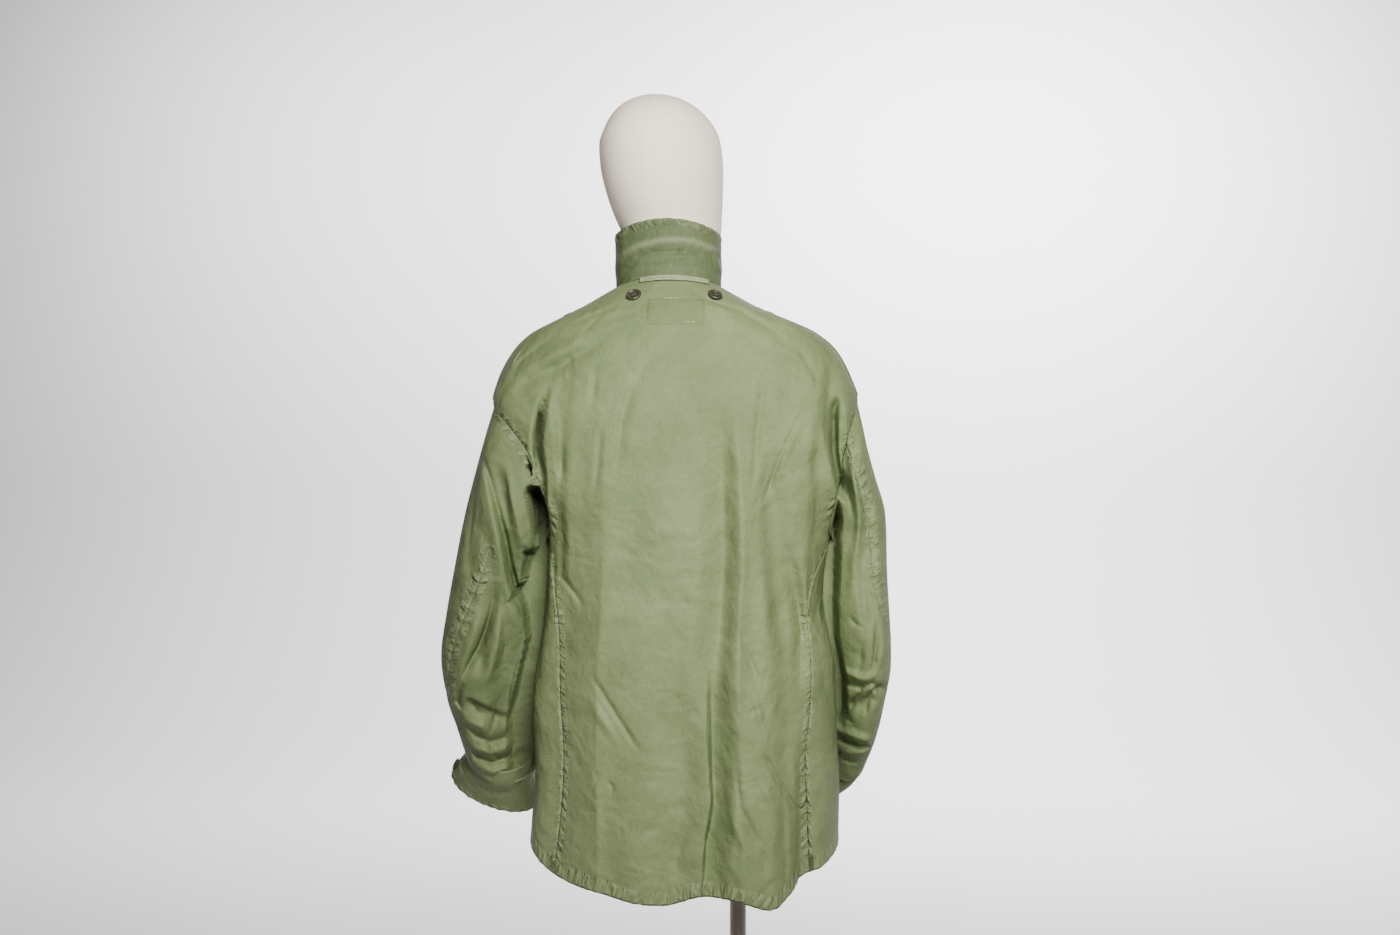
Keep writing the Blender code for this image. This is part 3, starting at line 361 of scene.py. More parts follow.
def seen_at(points):
    """Where the photograph's camera sees points: pixels across and down its frame."""
    x, y, z = np.moveaxis(points, -1, 0)
    reach = CAMERA_PLACE[1] - y
    across = FRAME_PIXELS[0] / 2.0 + FOCAL_PIXELS * (CAMERA_PLACE[0] - x) / reach
    down = FRAME_PIXELS[1] / 2.0 + FOCAL_PIXELS * (CAMERA_PLACE[2] - z) / reach
    return np.stack((across, down), axis=-1)


def front_view(points):
    """Millimetres across and down, as a viewer in front sees points: the wearer's left is right."""
    return np.stack((points[..., 0] * 1000.0, (1.5 - points[..., 2]) * 1000.0), axis=-1)


def crease_lift(places, creases):
    """How far creases lift the cloth at places on a picture, in metres.

    A crease is its width to the right hand and to the left hand of someone who walks along it on
    the picture, its sharpness from 0 (rounded) to 1 (a knife edge), and points of across, down and
    height in millimetres.
    """
    lift = np.zeros(places.shape[:-1])
    for right_hand, left_hand, sharp, path in creases:
        path = np.array(path, dtype=float)
        reach = max(right_hand, left_hand)
        low = path[:, :2].min(axis=0) - reach
        high = path[:, :2].max(axis=0) + reach
        near = np.all((places > low) & (places < high), axis=-1)
        across, down = places[near].T
        best = np.full(across.shape, 1.0)
        height = np.zeros(across.shape)
        for first, last in zip(path, path[1:]):
            run = last[:2] - first[:2]
            t = np.clip(((across - first[0]) * run[0] + (down - first[1]) * run[1]) / (run @ run), 0.0, 1.0)
            away_across = across - first[0] - run[0] * t
            away_down = down - first[1] - run[1] * t
            turn = run[0] * away_down - run[1] * away_across
            share = np.hypot(away_across, away_down) / np.where(turn > 0.0, right_hand, left_hand)
            closer = share < best
            best = np.where(closer, share, best)
            height = np.where(closer, first[2] + (last[2] - first[2]) * t, height)
        rounded = 0.5 + 0.5 * np.cos(np.pi * best)
        knife = (1.0 - best) ** 2
        lift[near] += height * (rounded + (knife - rounded) * sharp) / 1000.0
    return lift


print("hem centre is seen at", seen_at(cloth_point(HEM_LEVEL, 0.0)).round(1))

# %% Creases of the back, on the photograph
BACK_CREASES = (
    # short soft creases of the upper back
    (5, 12, 0.5, ((655, 350, 0), (640, 372, -1.2), (628, 395, -2.2), (621, 422, -2.6), (618, 450, -1.6),
        (616, 475, 0))),
    (4, 6, 0.5, ((596, 362, 0), (594, 378, -2.2), (592, 396, -1.6), (590, 408, 0))),
    (5, 7, 0.5, ((600, 428, 0), (599, 446, -1.8), (597, 470, -1.8), (594, 495, 0))),
    (6, 6, 0.3, ((763, 372, 0), (763, 392, -1.6), (758, 425, -2), (755, 465, -1.6), (752, 500, 0))),
    (4, 5, 0.7, ((812, 396, 0), (797, 421, -1.6), (783, 450, -2.2), (771, 480, -2.6), (763, 504, 0))),
    (9, 9, 0.3, ((806, 408, 0), (786, 448, 1.8), (772, 490, 0))),
    (6, 6, 0.4, ((745, 540, 0), (751, 565, -1.5), (755, 590, 0))),
    # the hollow right of centre and its ridge
    (20, 26, 0.2, ((770, 440, 0), (775, 500, -2.5), (780, 560, -3.5), (788, 620, -3.5), (790, 700, -2),
        (786, 760, 0))),
    (12, 12, 0.3, ((788, 540, 0), (790, 565, -5), (797, 600, -8), (801, 630, -8), (801, 660, -4),
        (798, 700, 0))),
    (9, 11, 0.3, ((812, 520, 0), (813, 560, 3), (810, 610, 3), (810, 650, 0))),
    # diagonal creases of the lower right
    (4, 6, 0.7, ((739, 630, 0), (744, 646, -2.2), (750, 661, -2.8), (757, 679, 0))),
    (7, 7, 0.4, ((743, 668, 0), (757, 706, 2.5), (768, 748, 0))),
    (4, 6, 0.8, ((747, 716, 0), (756, 710, -2.4), (765, 707, 0))),
    (4, 7, 0.8, ((762, 748, 0), (768, 762, -3.5), (779, 784, -4.2), (793, 805, -4), (808, 820, 0))),
    (9, 8, 0.3, ((752, 765, 0), (768, 795, 2.6), (788, 822, 0))),
    (5, 7, 0.6, ((735, 760, 0), (741, 809, -2.6), (751, 831, -3.2), (761, 850, 0))),
    (7, 8, 0.3, ((726, 780, 0), (734, 826, 2.2), (750, 862, 0))),
    (5, 5, 0.5, ((763, 846, 0), (765, 860, -1.8), (766, 876, 0))),
    (6, 6, 0.3, ((786, 770, 0), (789, 820, 1.6), (790, 880, 2), (790, 900, 0))),
    # diagonal creases of the lower left
    (4, 6, 0.8, ((590, 674, 0), (600, 690, -2.6), (616, 716, -2.8), (629, 736, -2.4), (640, 753, 0))),
    (8, 7, 0.3, ((585, 690, 0), (604, 722, 2), (624, 752, 0))),
    (4, 5, 0.7, ((594, 770, 0), (597, 778, -2.2), (594, 786, 0))),
    (5, 5, 0.6, ((606, 780, 0), (612, 786, -1.8), (614, 796, 0))),
    (8, 8, 0.3, ((640, 838, 0), (651, 830, -1.8), (664, 822, 0))),
    (10, 10, 0.2, ((690, 820, 0), (679, 845, -2), (672, 870, 0))),
    (4, 7, 0.7, ((556, 572, 0), (565, 582, -2.6), (575, 594, -2.6), (586, 612, 0))),
    # a shallow dent beside the left side seam
    (4, 5, 0.3, ((554, 530, 0), (553, 550, -2), (554, 570, -2), (556, 590, 0))),
    # folds that run from the neck over the left shoulder
    (9, 11, 0.3, ((604, 338, 0), (588, 350, -2.2), (570, 360, -3.2), (550, 371, -3.6), (530, 380, -3),
        (512, 392, 0))),
    (8, 9, 0.3, ((592, 328, 0), (575, 341, 2.2), (556, 353, 2.6), (536, 362, 2.6), (516, 376, 0))),
    (4, 6, 0.6, ((560, 333, 0), (541, 345, -1.8), (524, 358, -2.2), (510, 374, 0))),
    (4, 5, 0.6, ((616, 307, 0), (600, 312, -1.5), (585, 318, -1.8), (566, 328, 0))),
    (4, 5, 0.6, ((604, 306, 0), (598, 316, -1.6), (586, 331, -1.2), (576, 340, 0))),
    (5, 5, 0.4, ((590, 306, 0), (574, 316, -1.3), (556, 328, 0))),
    (9, 9, 0.2, ((545, 390, 0), (552, 420, 3), (556, 470, 3), (560, 510, 0))),
    # and over the right one
    (4, 6, 0.6, ((684, 288, 0), (696, 293, -1.4), (708, 300, -2.2), (722, 305, -2.4), (740, 311, -2.2),
        (766, 326, -1.6), (786, 340, 0))),
    (6, 6, 0.3, ((600, 334, 0), (622, 327, -1.2), (650, 331, 0))),
    (5, 5, 0.4, ((600, 322, 0), (618, 316, -1.3), (640, 311, 0))),
    (8, 9, 0.3, ((716, 312, 0), (745, 326, 1.6), (776, 345, 0))),
    (5, 7, 0.5, ((790, 340, 0), (803, 356, -1.8), (814, 374, -1.4), (818, 390, 0))),
    (5, 6, 0.5, ((748, 306, 0), (757, 309, -1.4), (766, 316, 0))),
    (8, 9, 0.3, ((822, 352, 0), (823, 372, 2.5), (820, 400, 2.5), (818, 430, 0))),
)
FRONT_CREASES = (
    (34, 34, 0.1, ((205, 300, 0), (212, 420, -4), (220, 600, -7), (226, 760, -7))),
    (34, 34, 0.1, ((-48, 300, 0), (-56, 420, -4), (-66, 600, -6), (-72, 760, -7))),
    (22, 28, 0.3, ((150, 470, 0), (158, 540, 4), (162, 640, 5), (164, 770, 5))),
    (28, 22, 0.3, ((4, 470, 0), (-2, 540, 4), (-8, 640, 5), (-12, 770, 5))),
    (14, 18, 0.5, ((232, 190, 0), (210, 260, -4), (186, 330, -4), (168, 380, 0))),
    (18, 14, 0.5, ((-64, 190, 0), (-40, 260, -4), (-18, 330, -4), (2, 380, 0))),
    (12, 14, 0.5, ((252, 330, 0), (226, 372, -4), (196, 400, -4), (160, 418, 0))),
    (14, 12, 0.5, ((-92, 330, 0), (-66, 372, -4), (-34, 400, -4), (0, 418, 0))),
    (10, 12, 0.5, ((170, 70, 0), (192, 110, -3), (214, 150, -4), (236, 176, 0))),
    (12, 10, 0.5, ((14, 70, 0), (-10, 110, -3), (-32, 150, -4), (-52, 176, 0))),
    (9, 9, 0.6, ((150, 430, 0), (176, 452, -3), (204, 470, -3), (226, 480, 0))),
    (9, 9, 0.6, ((20, 430, 0), (-8, 452, -3), (-38, 470, -3), (-62, 480, 0))),
)
# Deep forms that lie towards the camera or away from it: a bi-swing pleat at each armhole with a
# dark groove beside it, and the crisp edge of each side, where the cloth stays flat to its end.
DEEP_CREASES = (
    (4, 38, 0.5, ((560, 368, 0), (553, 386, 5), (547, 408, 10), (543, 430, 14), (545, 455, 16),
        (548, 480, 17), (548, 505, 18), (547, 530, 16), (548, 560, 8), (549, 590, 0))),
    (6, 6, 0.1, ((548, 388, 0), (545, 398, -8), (540, 416, -18), (537, 440, -24), (537, 456, -22),
        (540, 470, -10), (543, 485, 0))),
    (36, 4, 0.5, ((830, 372, 0), (825, 390, 5), (823, 412, 10), (824, 440, 13), (829, 466, 14),
        (832, 490, 15), (834, 520, 14), (830, 560, 6), (828, 600, 0))),
    (6, 6, 0.0, ((838, 396, 0), (835, 406, -16), (834, 420, -32), (834, 450, -34), (836, 475, -30),
        (839, 505, -26), (840, 540, -20), (841, 560, 0))),
    (3, 28, 0.8, ((545, 495, 0), (545, 515, 14), (545, 540, 20), (549, 575, 22), (549, 600, 24),
        (542, 640, 28), (536, 680, 30), (535, 740, 28), (533, 800, 26), (533, 860, 20))),
    # the left side is one plane that turns away from the light, up to a crest
    (20, 30, 0.6, ((604, 400, 0), (603, 440, 2), (603, 500, 3), (603, 560, 4), (602, 620, 3),
        (601, 660, 0))),
    (46, 46, 0.8, ((603, 550, 0), (601, 600, 4), (599, 640, 8), (597, 680, 10), (596, 740, 12),
        (597, 800, 12), (598, 850, 12), (597, 895, 10))),
    # the long fold right of centre: one plane turns away from the light up to a crisp crest
    (20, 18, 0.5, ((733, 395, 0), (736, 440, 5), (741, 500, 9), (743, 560, 11), (740, 620, 12),
        (738, 680, 11), (739, 720, 3), (741, 750, 0))),
    (30, 20, 0.3, ((722, 400, 0), (722, 440, -8), (723, 500, -13), (723, 560, -16), (720, 620, -17),
        (716, 670, -14), (713, 710, -5), (712, 730, 0))),
    (28, 27, 0.4, ((739, 640, 0), (740, 690, 8), (742, 740, 13), (742, 800, 16), (742, 850, 18),
        (742, 900, 18))),
    (3, 28, 0.4, ((711, 670, 0), (711, 700, -10), (712, 740, -19), (713, 780, -23), (714, 805, -24),
        (707, 840, -23), (703, 895, -18))),
    # lower down the left half laps over the trough with a crisp edge
    (30, 3, 0.4, ((708, 670, 0), (706, 700, 5), (706, 740, 10), (709, 780, 13), (710, 805, 13),
        (704, 840, 13), (700, 895, 11))),
)
# How the cloth beside each armhole keeps facing the camera; the back and the sleeves share these.
ARM_CREASES = (
    (3, 40, 0.6, ((522, 352, 0), (508, 372, 10), (497, 395, 16), (491, 420, 18), (484, 450, 18),
        (480, 480, 14), (475, 515, 8), (470, 560, 0))),
    (34, 3, 0.6, ((836, 355, 0), (853, 388, 7), (863, 420, 9), (872, 450, 9), (879, 485, 6), (884, 530, 0))),
    (5, 9, 0.3, ((847, 398, 0), (846, 414, 7), (847, 440, 9), (849, 470, 7), (850, 500, 3), (851, 530, 0))),
)
print(len(BACK_CREASES) + len(DEEP_CREASES), "creases on the back")

# %% [markdown]
# A stitched seam shows as a groove, two rows of thread and a band of puckers between them, because
# the thread shrinks less than the cotton. The puckers are too fine for the mesh, so each vertex
# carries a mark: its distance from the nearest seam, its place along it, and the band's width.
# The material turns that mark into relief and wear.

# %% Marks for seams and wear
SEAM_BAND = 0.011
HEM_BAND = 0.019
FAR_AWAY = 1.0
# how finely a seam's line is walked, and how many widths away its band is still looked for
SEAM_STEP = 0.0012
SEAM_REACH = 2.5
# vertices that are measured at once
CHUNK = 4000
SINK_DEPTH = 0.0008
SINK_WIDTH = 0.0035


def seam_line(points):
    """A line of points walked at even steps, with the distance walked at each."""
    walked = lengths_along(points, 0)
    at = np.linspace(0.0, walked[-1], max(int(walked[-1] / SEAM_STEP), 2))
    return np.stack([np.interp(at, walked, column) for column in points.T], axis=-1), at


def seam_marks(places, seams, scale=1.0):
    """The seam mark of each place: distance, place along, and width of the band, in metres.

    A seam is its line, its width and a side. On a picture +1 keeps the band on the right hand of
    someone who walks along the line, -1 on the left, and 0 on both. Scale is metres per unit.
    """
    flat = places.reshape(-1, places.shape[-1]) * scale
    best = np.full(len(flat), FAR_AWAY)
    marks = np.tile((FAR_AWAY, 0.0, SEAM_BAND), (len(flat), 1))
    for line, width, side in seams:
        line, walked = seam_line(np.array(line, dtype=float) * scale)
        runs = np.gradient(line, axis=0)
        reach = width * SEAM_REACH
        low = line.min(axis=0) - reach
        high = line.max(axis=0) + reach
        near = np.flatnonzero(np.all((flat > low) & (flat < high), axis=1))
        for chunk in np.array_split(near, len(near) // CHUNK + 1):
            gaps = np.linalg.norm(flat[chunk, None, :] - line[None, :, :], axis=2)
            nearest = gaps.argmin(axis=1)
            gap = gaps[np.arange(len(chunk)), nearest]
            closer = gap / width < best[chunk]
            if side:
                away = flat[chunk] - line[nearest]
                run = runs[nearest]
                closer &= (run[:, 0] * away[:, 1] - run[:, 1] * away[:, 0]) * side > -1e-9
            chosen = chunk[closer]
            best[chosen] = gap[closer] / width
            marks[chosen] = np.stack((gap, walked[nearest], np.full(len(gap), width)), axis=-1)[closer]
    return marks.reshape(places.shape[:-1] + (3,))


def seam_groove(marks):
    """How deep the mesh itself sinks at a seam's own line."""
    return -SINK_DEPTH * (1.0 - ease(marks[..., 0] / SINK_WIDTH))


print("seam bands are", SEAM_BAND * 1000, "and", HEM_BAND * 1000, "mm wide")

# %% [markdown]
# The back is cut in one piece with a pleat at each armhole that opens when the arms reach forward.
# It could be simulated, but a simulation would fold where it likes, and here the folds are known.
# So the back is a grid on the body's formula. Its creases move it towards the camera of the
# photograph or away from it, because that is the direction in which they were drawn.

# %% Back panel
ROWS_PER_PART = (132, 68, 56)
BACK_COLUMNS = 186
FRONT_COLUMNS = 76
# how many times deeper the creases of fronts, back and sleeves lie than they were drawn
FRONT_GAIN = 1.45
BACK_GAIN = 2.2
SLEEVE_GAIN = 1.7
RUMPLE = 0.0009
# waves to each rumple, and the least and most of their pull in radians to a metre
RUMPLE_WAVES = 7
RUMPLE_PULL = (28.0, 75.0)
# how far the cloth bulges sideways, the middle x and z of the bulge, and its reach in x and z
BULGES = (
    (-0.010, -0.122, 1.195, 0.040, 0.050),
    (0.006, 0.264, 0.960, 0.050, 0.060),
)


def rows_up():
    parts = [spread(i, i + 1, count)[:-1] for i, count in enumerate(ROWS_PER_PART)]
    return np.concatenate(parts + [np.array((3.0,))])


def rumple(points, size, seed):
    """Soft uneven waves from a few sines, so that no stretch of cloth is perfectly smooth."""
    chance = np.random.default_rng(seed)
    wave = np.zeros(points.shape[:-1])
    for _ in range(RUMPLE_WAVES):
        pull = chance.normal(size=3) * np.array((1.0, 1.0, 0.45))
        pull *= chance.uniform(*RUMPLE_PULL) / np.linalg.norm(pull)
        wave += np.sin(points @ pull + chance.uniform(0.0, math.tau)) * chance.uniform(0.4, 1.0)
    return wave * size / 4.0


def back_facing(normals):
    """1 on the side that the photograph shows and 0 on the other."""
    return ease((normals[..., 1] + 0.05) / 0.30)


def bulge_out(points):
    """Move points sideways where the cloth bulges."""
    moved = points.copy()
    for push, x, z, reach_x, reach_z in BULGES:
        near = np.exp(-(((points[..., 0] - x) / reach_x) ** 2 + ((points[..., 2] - z) / reach_z) ** 2))
        moved[..., 0] += push * near
    return moved


def crease_cloth(
    points, normals, back_creases=BACK_CREASES, front_creases=FRONT_CREASES, deep=DEEP_CREASES,
    gain=BACK_GAIN,
):
    """Crease the front of a grid along its normals, and its back along the camera's view."""
    facing = back_facing(normals)
    lift = crease_lift(front_view(points), front_creases) * (1.0 - facing) * FRONT_GAIN
    lift += rumple(points, RUMPLE, 4)
    moved = points + normals * lift[..., None]
    places = seen_at(points)
    nearer = crease_lift(places, back_creases) * gain + crease_lift(places, deep + ARM_CREASES)
    return bulge_out(moved + unit(CAMERA_PLACE - points) * (nearer * facing)[..., None])


def back_grid():
    up = rows_up()[:, None]
    share = spread(-1.0, 1.0, BACK_COLUMNS)[None, :]
    right = panel_edge(up, -1, 1)
    left = panel_edge(up, 1, 1)
    centre, level, angle = [np.where(share > 0.0, a, b) for a, b in zip(left, right)]
    return cloth_point(centre + (level - centre) * share ** 2, angle * share)


def front_grid(side):
    up = rows_up()[:, None]
    share = spread(0.0, 1.0, FRONT_COLUMNS)[None, :]
    centre, level, angle = panel_edge(up, side, -1)
    return cloth_point(centre + (level - centre) * share ** 2, side * (180.0 - (180.0 - angle) * share))


plain_back = back_grid()
back_points = crease_cloth(plain_back, -grid_normals(plain_back))
print("back is", np.ptp(back_points.reshape(-1, 3), axis=0).round(3))

# %% [markdown]
# The two fronts meet at the centre under the fly. They hang from the shoulders in long soft folds
# and swing a little at the hem. Each front shares its side seam and its armhole with the back, so
# its edge uses the same formula and the same creases.

# %% Front panels


def crease_front(side):
    plain = front_grid(side)
    return crease_cloth(plain, grid_normals(plain) * side)


front_points = {name: crease_front(side) for name, side in SIDES.items()}
print("left front is", np.ptp(front_points["left"].reshape(-1, 3), axis=0).round(3))

# %% Pressing the seams of the panels
SIDE_ROWS = slice(0, ROWS_PER_PART[0] + 1)
ARMHOLE_ROWS = slice(ROWS_PER_PART[0], ROWS_PER_PART[0] + ROWS_PER_PART[1] + 1)
SHOULDER_ROWS = slice(ROWS_PER_PART[0] + ROWS_PER_PART[1], None)
HEM_RIPPLE = 0.0005
# the hem's line of stitches: its place as a share of the band, its width and its depth
HEM_LINE = (0.92, 0.0022, 0.0007)
# from crest to crest
RIPPLE_LENGTHS = (0.0105, 0.0125, 0.0153, 0.0218)


def edge_seams(points, column, widths):
    """The side seam, armhole and shoulder seam along one edge of a panel."""
    parts = (SIDE_ROWS, ARMHOLE_ROWS, SHOULDER_ROWS)
    return [(points[rows, column], width, 0) for rows, width in zip(parts, widths)]


def ripple(along, seed):
    """Uneven short waves along an edge, about 12 mm from crest to crest."""
    chance = np.random.default_rng(seed)
    wave = np.zeros(along.shape)
    for length in RIPPLE_LENGTHS:
        wave += np.sin(along * math.tau / length + chance.uniform(0.0, math.tau))
    return wave / 2.5


def press_panel(points, outward, seams, seed):
    """Mark a panel's seams, sink them into the cloth and ripple its hem."""
    seams = seams + [(points[0], HEM_BAND, 0)]
    marks = seam_marks(points, seams)
    up_from_hem = lengths_along(points, 0)
    along_hem = lengths_along(points, 1)[:1]
    rippled = ripple(along_hem + up_from_hem * 0.3, seed) * HEM_RIPPLE
    rippled *= 1.0 - ease(up_from_hem / HEM_BAND)
    place, width, depth = HEM_LINE
    line = np.exp(-((up_from_hem - HEM_BAND * place) / width) ** 2) * depth
    lift = seam_groove(marks) * ease(up_from_hem / 0.01) + rippled - line
    return points + grid_normals(points) * (lift * outward)[..., None], marks


BACK_WIDTHS = (SEAM_BAND, SEAM_BAND, 0.009)
FRONT_WIDTHS = (0.006, 0.007, 0.006)
back_seams = edge_seams(back_points, 0, BACK_WIDTHS) + edge_seams(back_points, -1, BACK_WIDTHS)
back_points, back_marks = press_panel(back_points, -1, back_seams, 11)
front_marks = {}
for name, side in SIDES.items():
    points = front_points[name]
    front_seams = edge_seams(points, -1, FRONT_WIDTHS)
    front_points[name], front_marks[name] = press_panel(points, side, front_seams, 12 + side)
print("back seam band covers", float((back_marks[..., 0] < back_marks[..., 2]).mean().round(3)))

# %% [markdown]
# Each sleeve is a tube of slanted ovals from the armhole to the wrist. The tube starts on the
# armhole's own curve and eases into its first oval. Where the arm is empty the cotton collapses,
# so the sleeves have the deepest creases and a stack of rolls above each cuff.

# %% Sleeve ovals
ARMHOLE_FADE = 0.34
# outer_x, outer_z, inner_x, inner_z, middle_y, depth, back_drop
LEFT_SLEEVE = (
    (0.336, 1.300, 0.2650, 1.158, 0.000, 0.186, 0.000),
    (0.349, 1.250, 0.2610, 1.139, 0.000, 0.180, 0.000),
    (0.362, 1.198, 0.2600, 1.118, 0.000, 0.172, 0.000),
    (0.374, 1.135, 0.2610, 1.087, 0.002, 0.160, 0.000),
    (0.385, 1.072, 0.2655, 1.045, 0.004, 0.145, 0.000),
    (0.3935, 1.010, 0.2690, 1.000, 0.002, 0.130, -0.004),
    (0.390, 0.955, 0.2713, 0.945, -0.012, 0.120, -0.010),
    (0.382, 0.920, 0.2735, 0.905, -0.028, 0.112, -0.016),
    (0.372, 0.874, 0.2790, 0.850, -0.050, 0.100, -0.024),
)
RIGHT_SLEEVE = (
    (-0.1665, 1.300, -0.1290, 1.158, 0.000, 0.186, 0.000),
    (-0.1800, 1.250, -0.1230, 1.139, 0.000, 0.182, 0.000),
    (-0.1930, 1.200, -0.1210, 1.118, 0.000, 0.178, 0.000),
    (-0.1955, 1.135, -0.1205, 1.087, 0.002, 0.170, 0.000),
    (-0.1985, 1.070, -0.1265, 1.045, 0.004, 0.160, 0.000),
    (-0.2015, 1.005, -0.1340, 0.998, 0.000, 0.148, -0.004),
    (-0.1970, 0.957, -0.1370, 0.945, -0.018, 0.138, -0.012),
    (-0.1925, 0.918, -0.1385, 0.905, -0.044, 0.128, -0.020),
    (-0.1860, 0.872, -0.1300, 0.850, -0.088, 0.110, -0.030),
)
LEFT_SLEEVE_FOLDS = (
    (1, 0.3080, 1.275, 0.2760, 1.080, 0.016, 0.016, -0.009, -0.010),
    (1, 0.3040, 1.120, 0.3360, 0.990, 0.018, 0.018, -0.009, -0.011),
    (1, 0.3600, 0.960, 0.2900, 0.925, 0.015, 0.015, -0.008, -0.008),
    (-1, 0.3300, 1.180, 0.2900, 1.000, 0.018, 0.018, -0.006, -0.008),
)
RIGHT_SLEEVE_FOLDS = (
    (1, -0.1500, 1.240, -0.1680, 1.040, 0.014, 0.016, -0.006, -0.008),
    (1, -0.1920, 0.985, -0.1420, 0.945, 0.015, 0.015, -0.009, -0.008),
    (-1, -0.1700, 1.180, -0.1500, 1.000, 0.018, 0.018, -0.006, -0.008),
)


def oval_point(row, around):
    """A point of a slanted oval: around is 0 at its outer end and 90 at its back."""
    outer_x, outer_z, inner_x, inner_z, middle_y, depth, back_drop = np.moveaxis(row, -1, 0)
    sine, cosine = sine_cosine(around)
    x = (outer_x + inner_x + (outer_x - inner_x) * cosine) / 2.0
    z = (outer_z + inner_z + (outer_z - inner_z) * cosine) / 2.0
    return np.stack((x, middle_y + depth / 2.0 * sine, z + back_drop * sine), axis=-1)


def sleeve_ovals(side, rows):
    """A sleeve's ovals with the armhole's own oval first, keyed by the share of its length."""
    top, back, low, front = [armhole_point(around, side) for around in (0.0, 90.0, 180.0, 270.0)]
    first = (top[0], top[2], low[0], low[2], (back[1] + front[1]) / 2.0, back[1] - front[1], 0.0)
    rows = np.array((first,) + rows)
    middle_x = (rows[:, 0] + rows[:, 2]) / 2.0
    middle_z = (rows[:, 1] + rows[:, 3]) / 2.0
    middles = np.stack((middle_x, rows[:, 4], middle_z), axis=-1)
    walked = lengths_along(middles, 0)
    return smooth_table(walked / walked[-1], rows), rows[0], float(walked[-1])


def sleeve_plain(ovals, first, side, along, around):
    left_over = armhole_point(around % 360.0, side) - oval_point(first, around)
    return oval_point(ovals(along), around) + left_over * (1.0 - ease(along / ARMHOLE_FADE))[..., None]


SLEEVES = {
    "left": (1,) + sleeve_ovals(1, LEFT_SLEEVE),
    "right": (-1,) + sleeve_ovals(-1, RIGHT_SLEEVE),
}
print("sleeve lengths", [round(sleeve[3], 3) for sleeve in SLEEVES.values()])

# %% Creases of the sleeves
LEFT_SLEEVE_CREASES = (
    # the long deep crease down the back of the arm and the rolls on both sides of it
    (7, 4, 0.8, ((482, 452, 0), (490, 478, -5), (498, 508, -8), (506, 538, -10), (511, 566, -11),
        (517, 597, -12), (525, 622, -8), (532, 645, 0))),
    (26, 9, 0.0, ((522, 620, 0), (514, 660, -9), (508, 700, -13), (507, 740, -13), (509, 775, -8),
        (510, 800, 0))),
    (14, 10, 0.3, ((480, 462, 0), (486, 490, 4), (494, 525, 5), (502, 560, 6), (508, 600, 5),
        (514, 640, 0))),
    (9, 12, 0.3, ((500, 462, 0), (508, 490, 3), (517, 520, 4), (524, 545, 3), (529, 552, 0))),
    (5, 5, 0.7, ((522, 545, 0), (526, 552, -4), (534, 575, -5), (536, 600, 0))),
    # the second deep crease above the elbow
    (4, 9, 0.7, ((493, 600, -2), (487, 625, -8), (479, 645, -10), (469, 664, -9), (462, 680, 0))),
    (12, 8, 0.3, ((484, 608, 0), (474, 635, 4), (463, 660, 4), (455, 684, 0))),
    (14, 8, 0.3, ((500, 600, 0), (499, 640, 4), (492, 670, 4), (480, 690, 0))),
    (8, 12, 0.4, ((503, 560, 0), (505, 600, -3), (505, 650, -4), (498, 690, 0))),
    # the soft fold along the outer edge
    (10, 9, 0.2, ((478, 500, 0), (473, 530, -3), (470, 560, -3.5), (470, 590, -2), (474, 612, 0))),
    # notches at the elbow and the curved rolls of the forearm
    (4, 6, 0.8, ((464, 682, 0), (459, 692, -6), (457, 702, -7), (463, 712, 0))),
    (7, 7, 0.4, ((458, 715, 0), (468, 722, 4), (482, 727, 4), (492, 733, 0))),
    (5, 7, 0.6, ((464, 724, 0), (476, 736, -5), (490, 742, -5), (504, 738, -4), (516, 726, 0))),
    (7, 7, 0.4, ((463, 734, 0), (474, 748, 4), (492, 753, 4.5), (508, 747, 4), (522, 732, 0))),
    (5, 6, 0.7, ((466, 742, 0), (476, 757, -6), (492, 763, -6), (510, 757, -5), (524, 743, 0))),
    (6, 8, 0.4, ((467, 752, 0), (478, 767, 4), (494, 773, 5), (512, 766, 4), (528, 750, 0))),
    (4, 5, 0.7, ((498, 700, 0), (496, 718, -4), (490, 734, 0))),
    (4, 5, 0.7, ((489, 742, 0), (495, 756, -5), (504, 764, 0))),
    (4, 5, 0.6, ((513, 748, 0), (508, 764, -4), (512, 776, 0))),
    (4, 5, 0.6, ((522, 742, 0), (517, 758, -4), (520, 770, 0))),
    (4, 4, 0.6, ((470, 700, 0), (478, 712, -3), (490, 716, 0))),
)
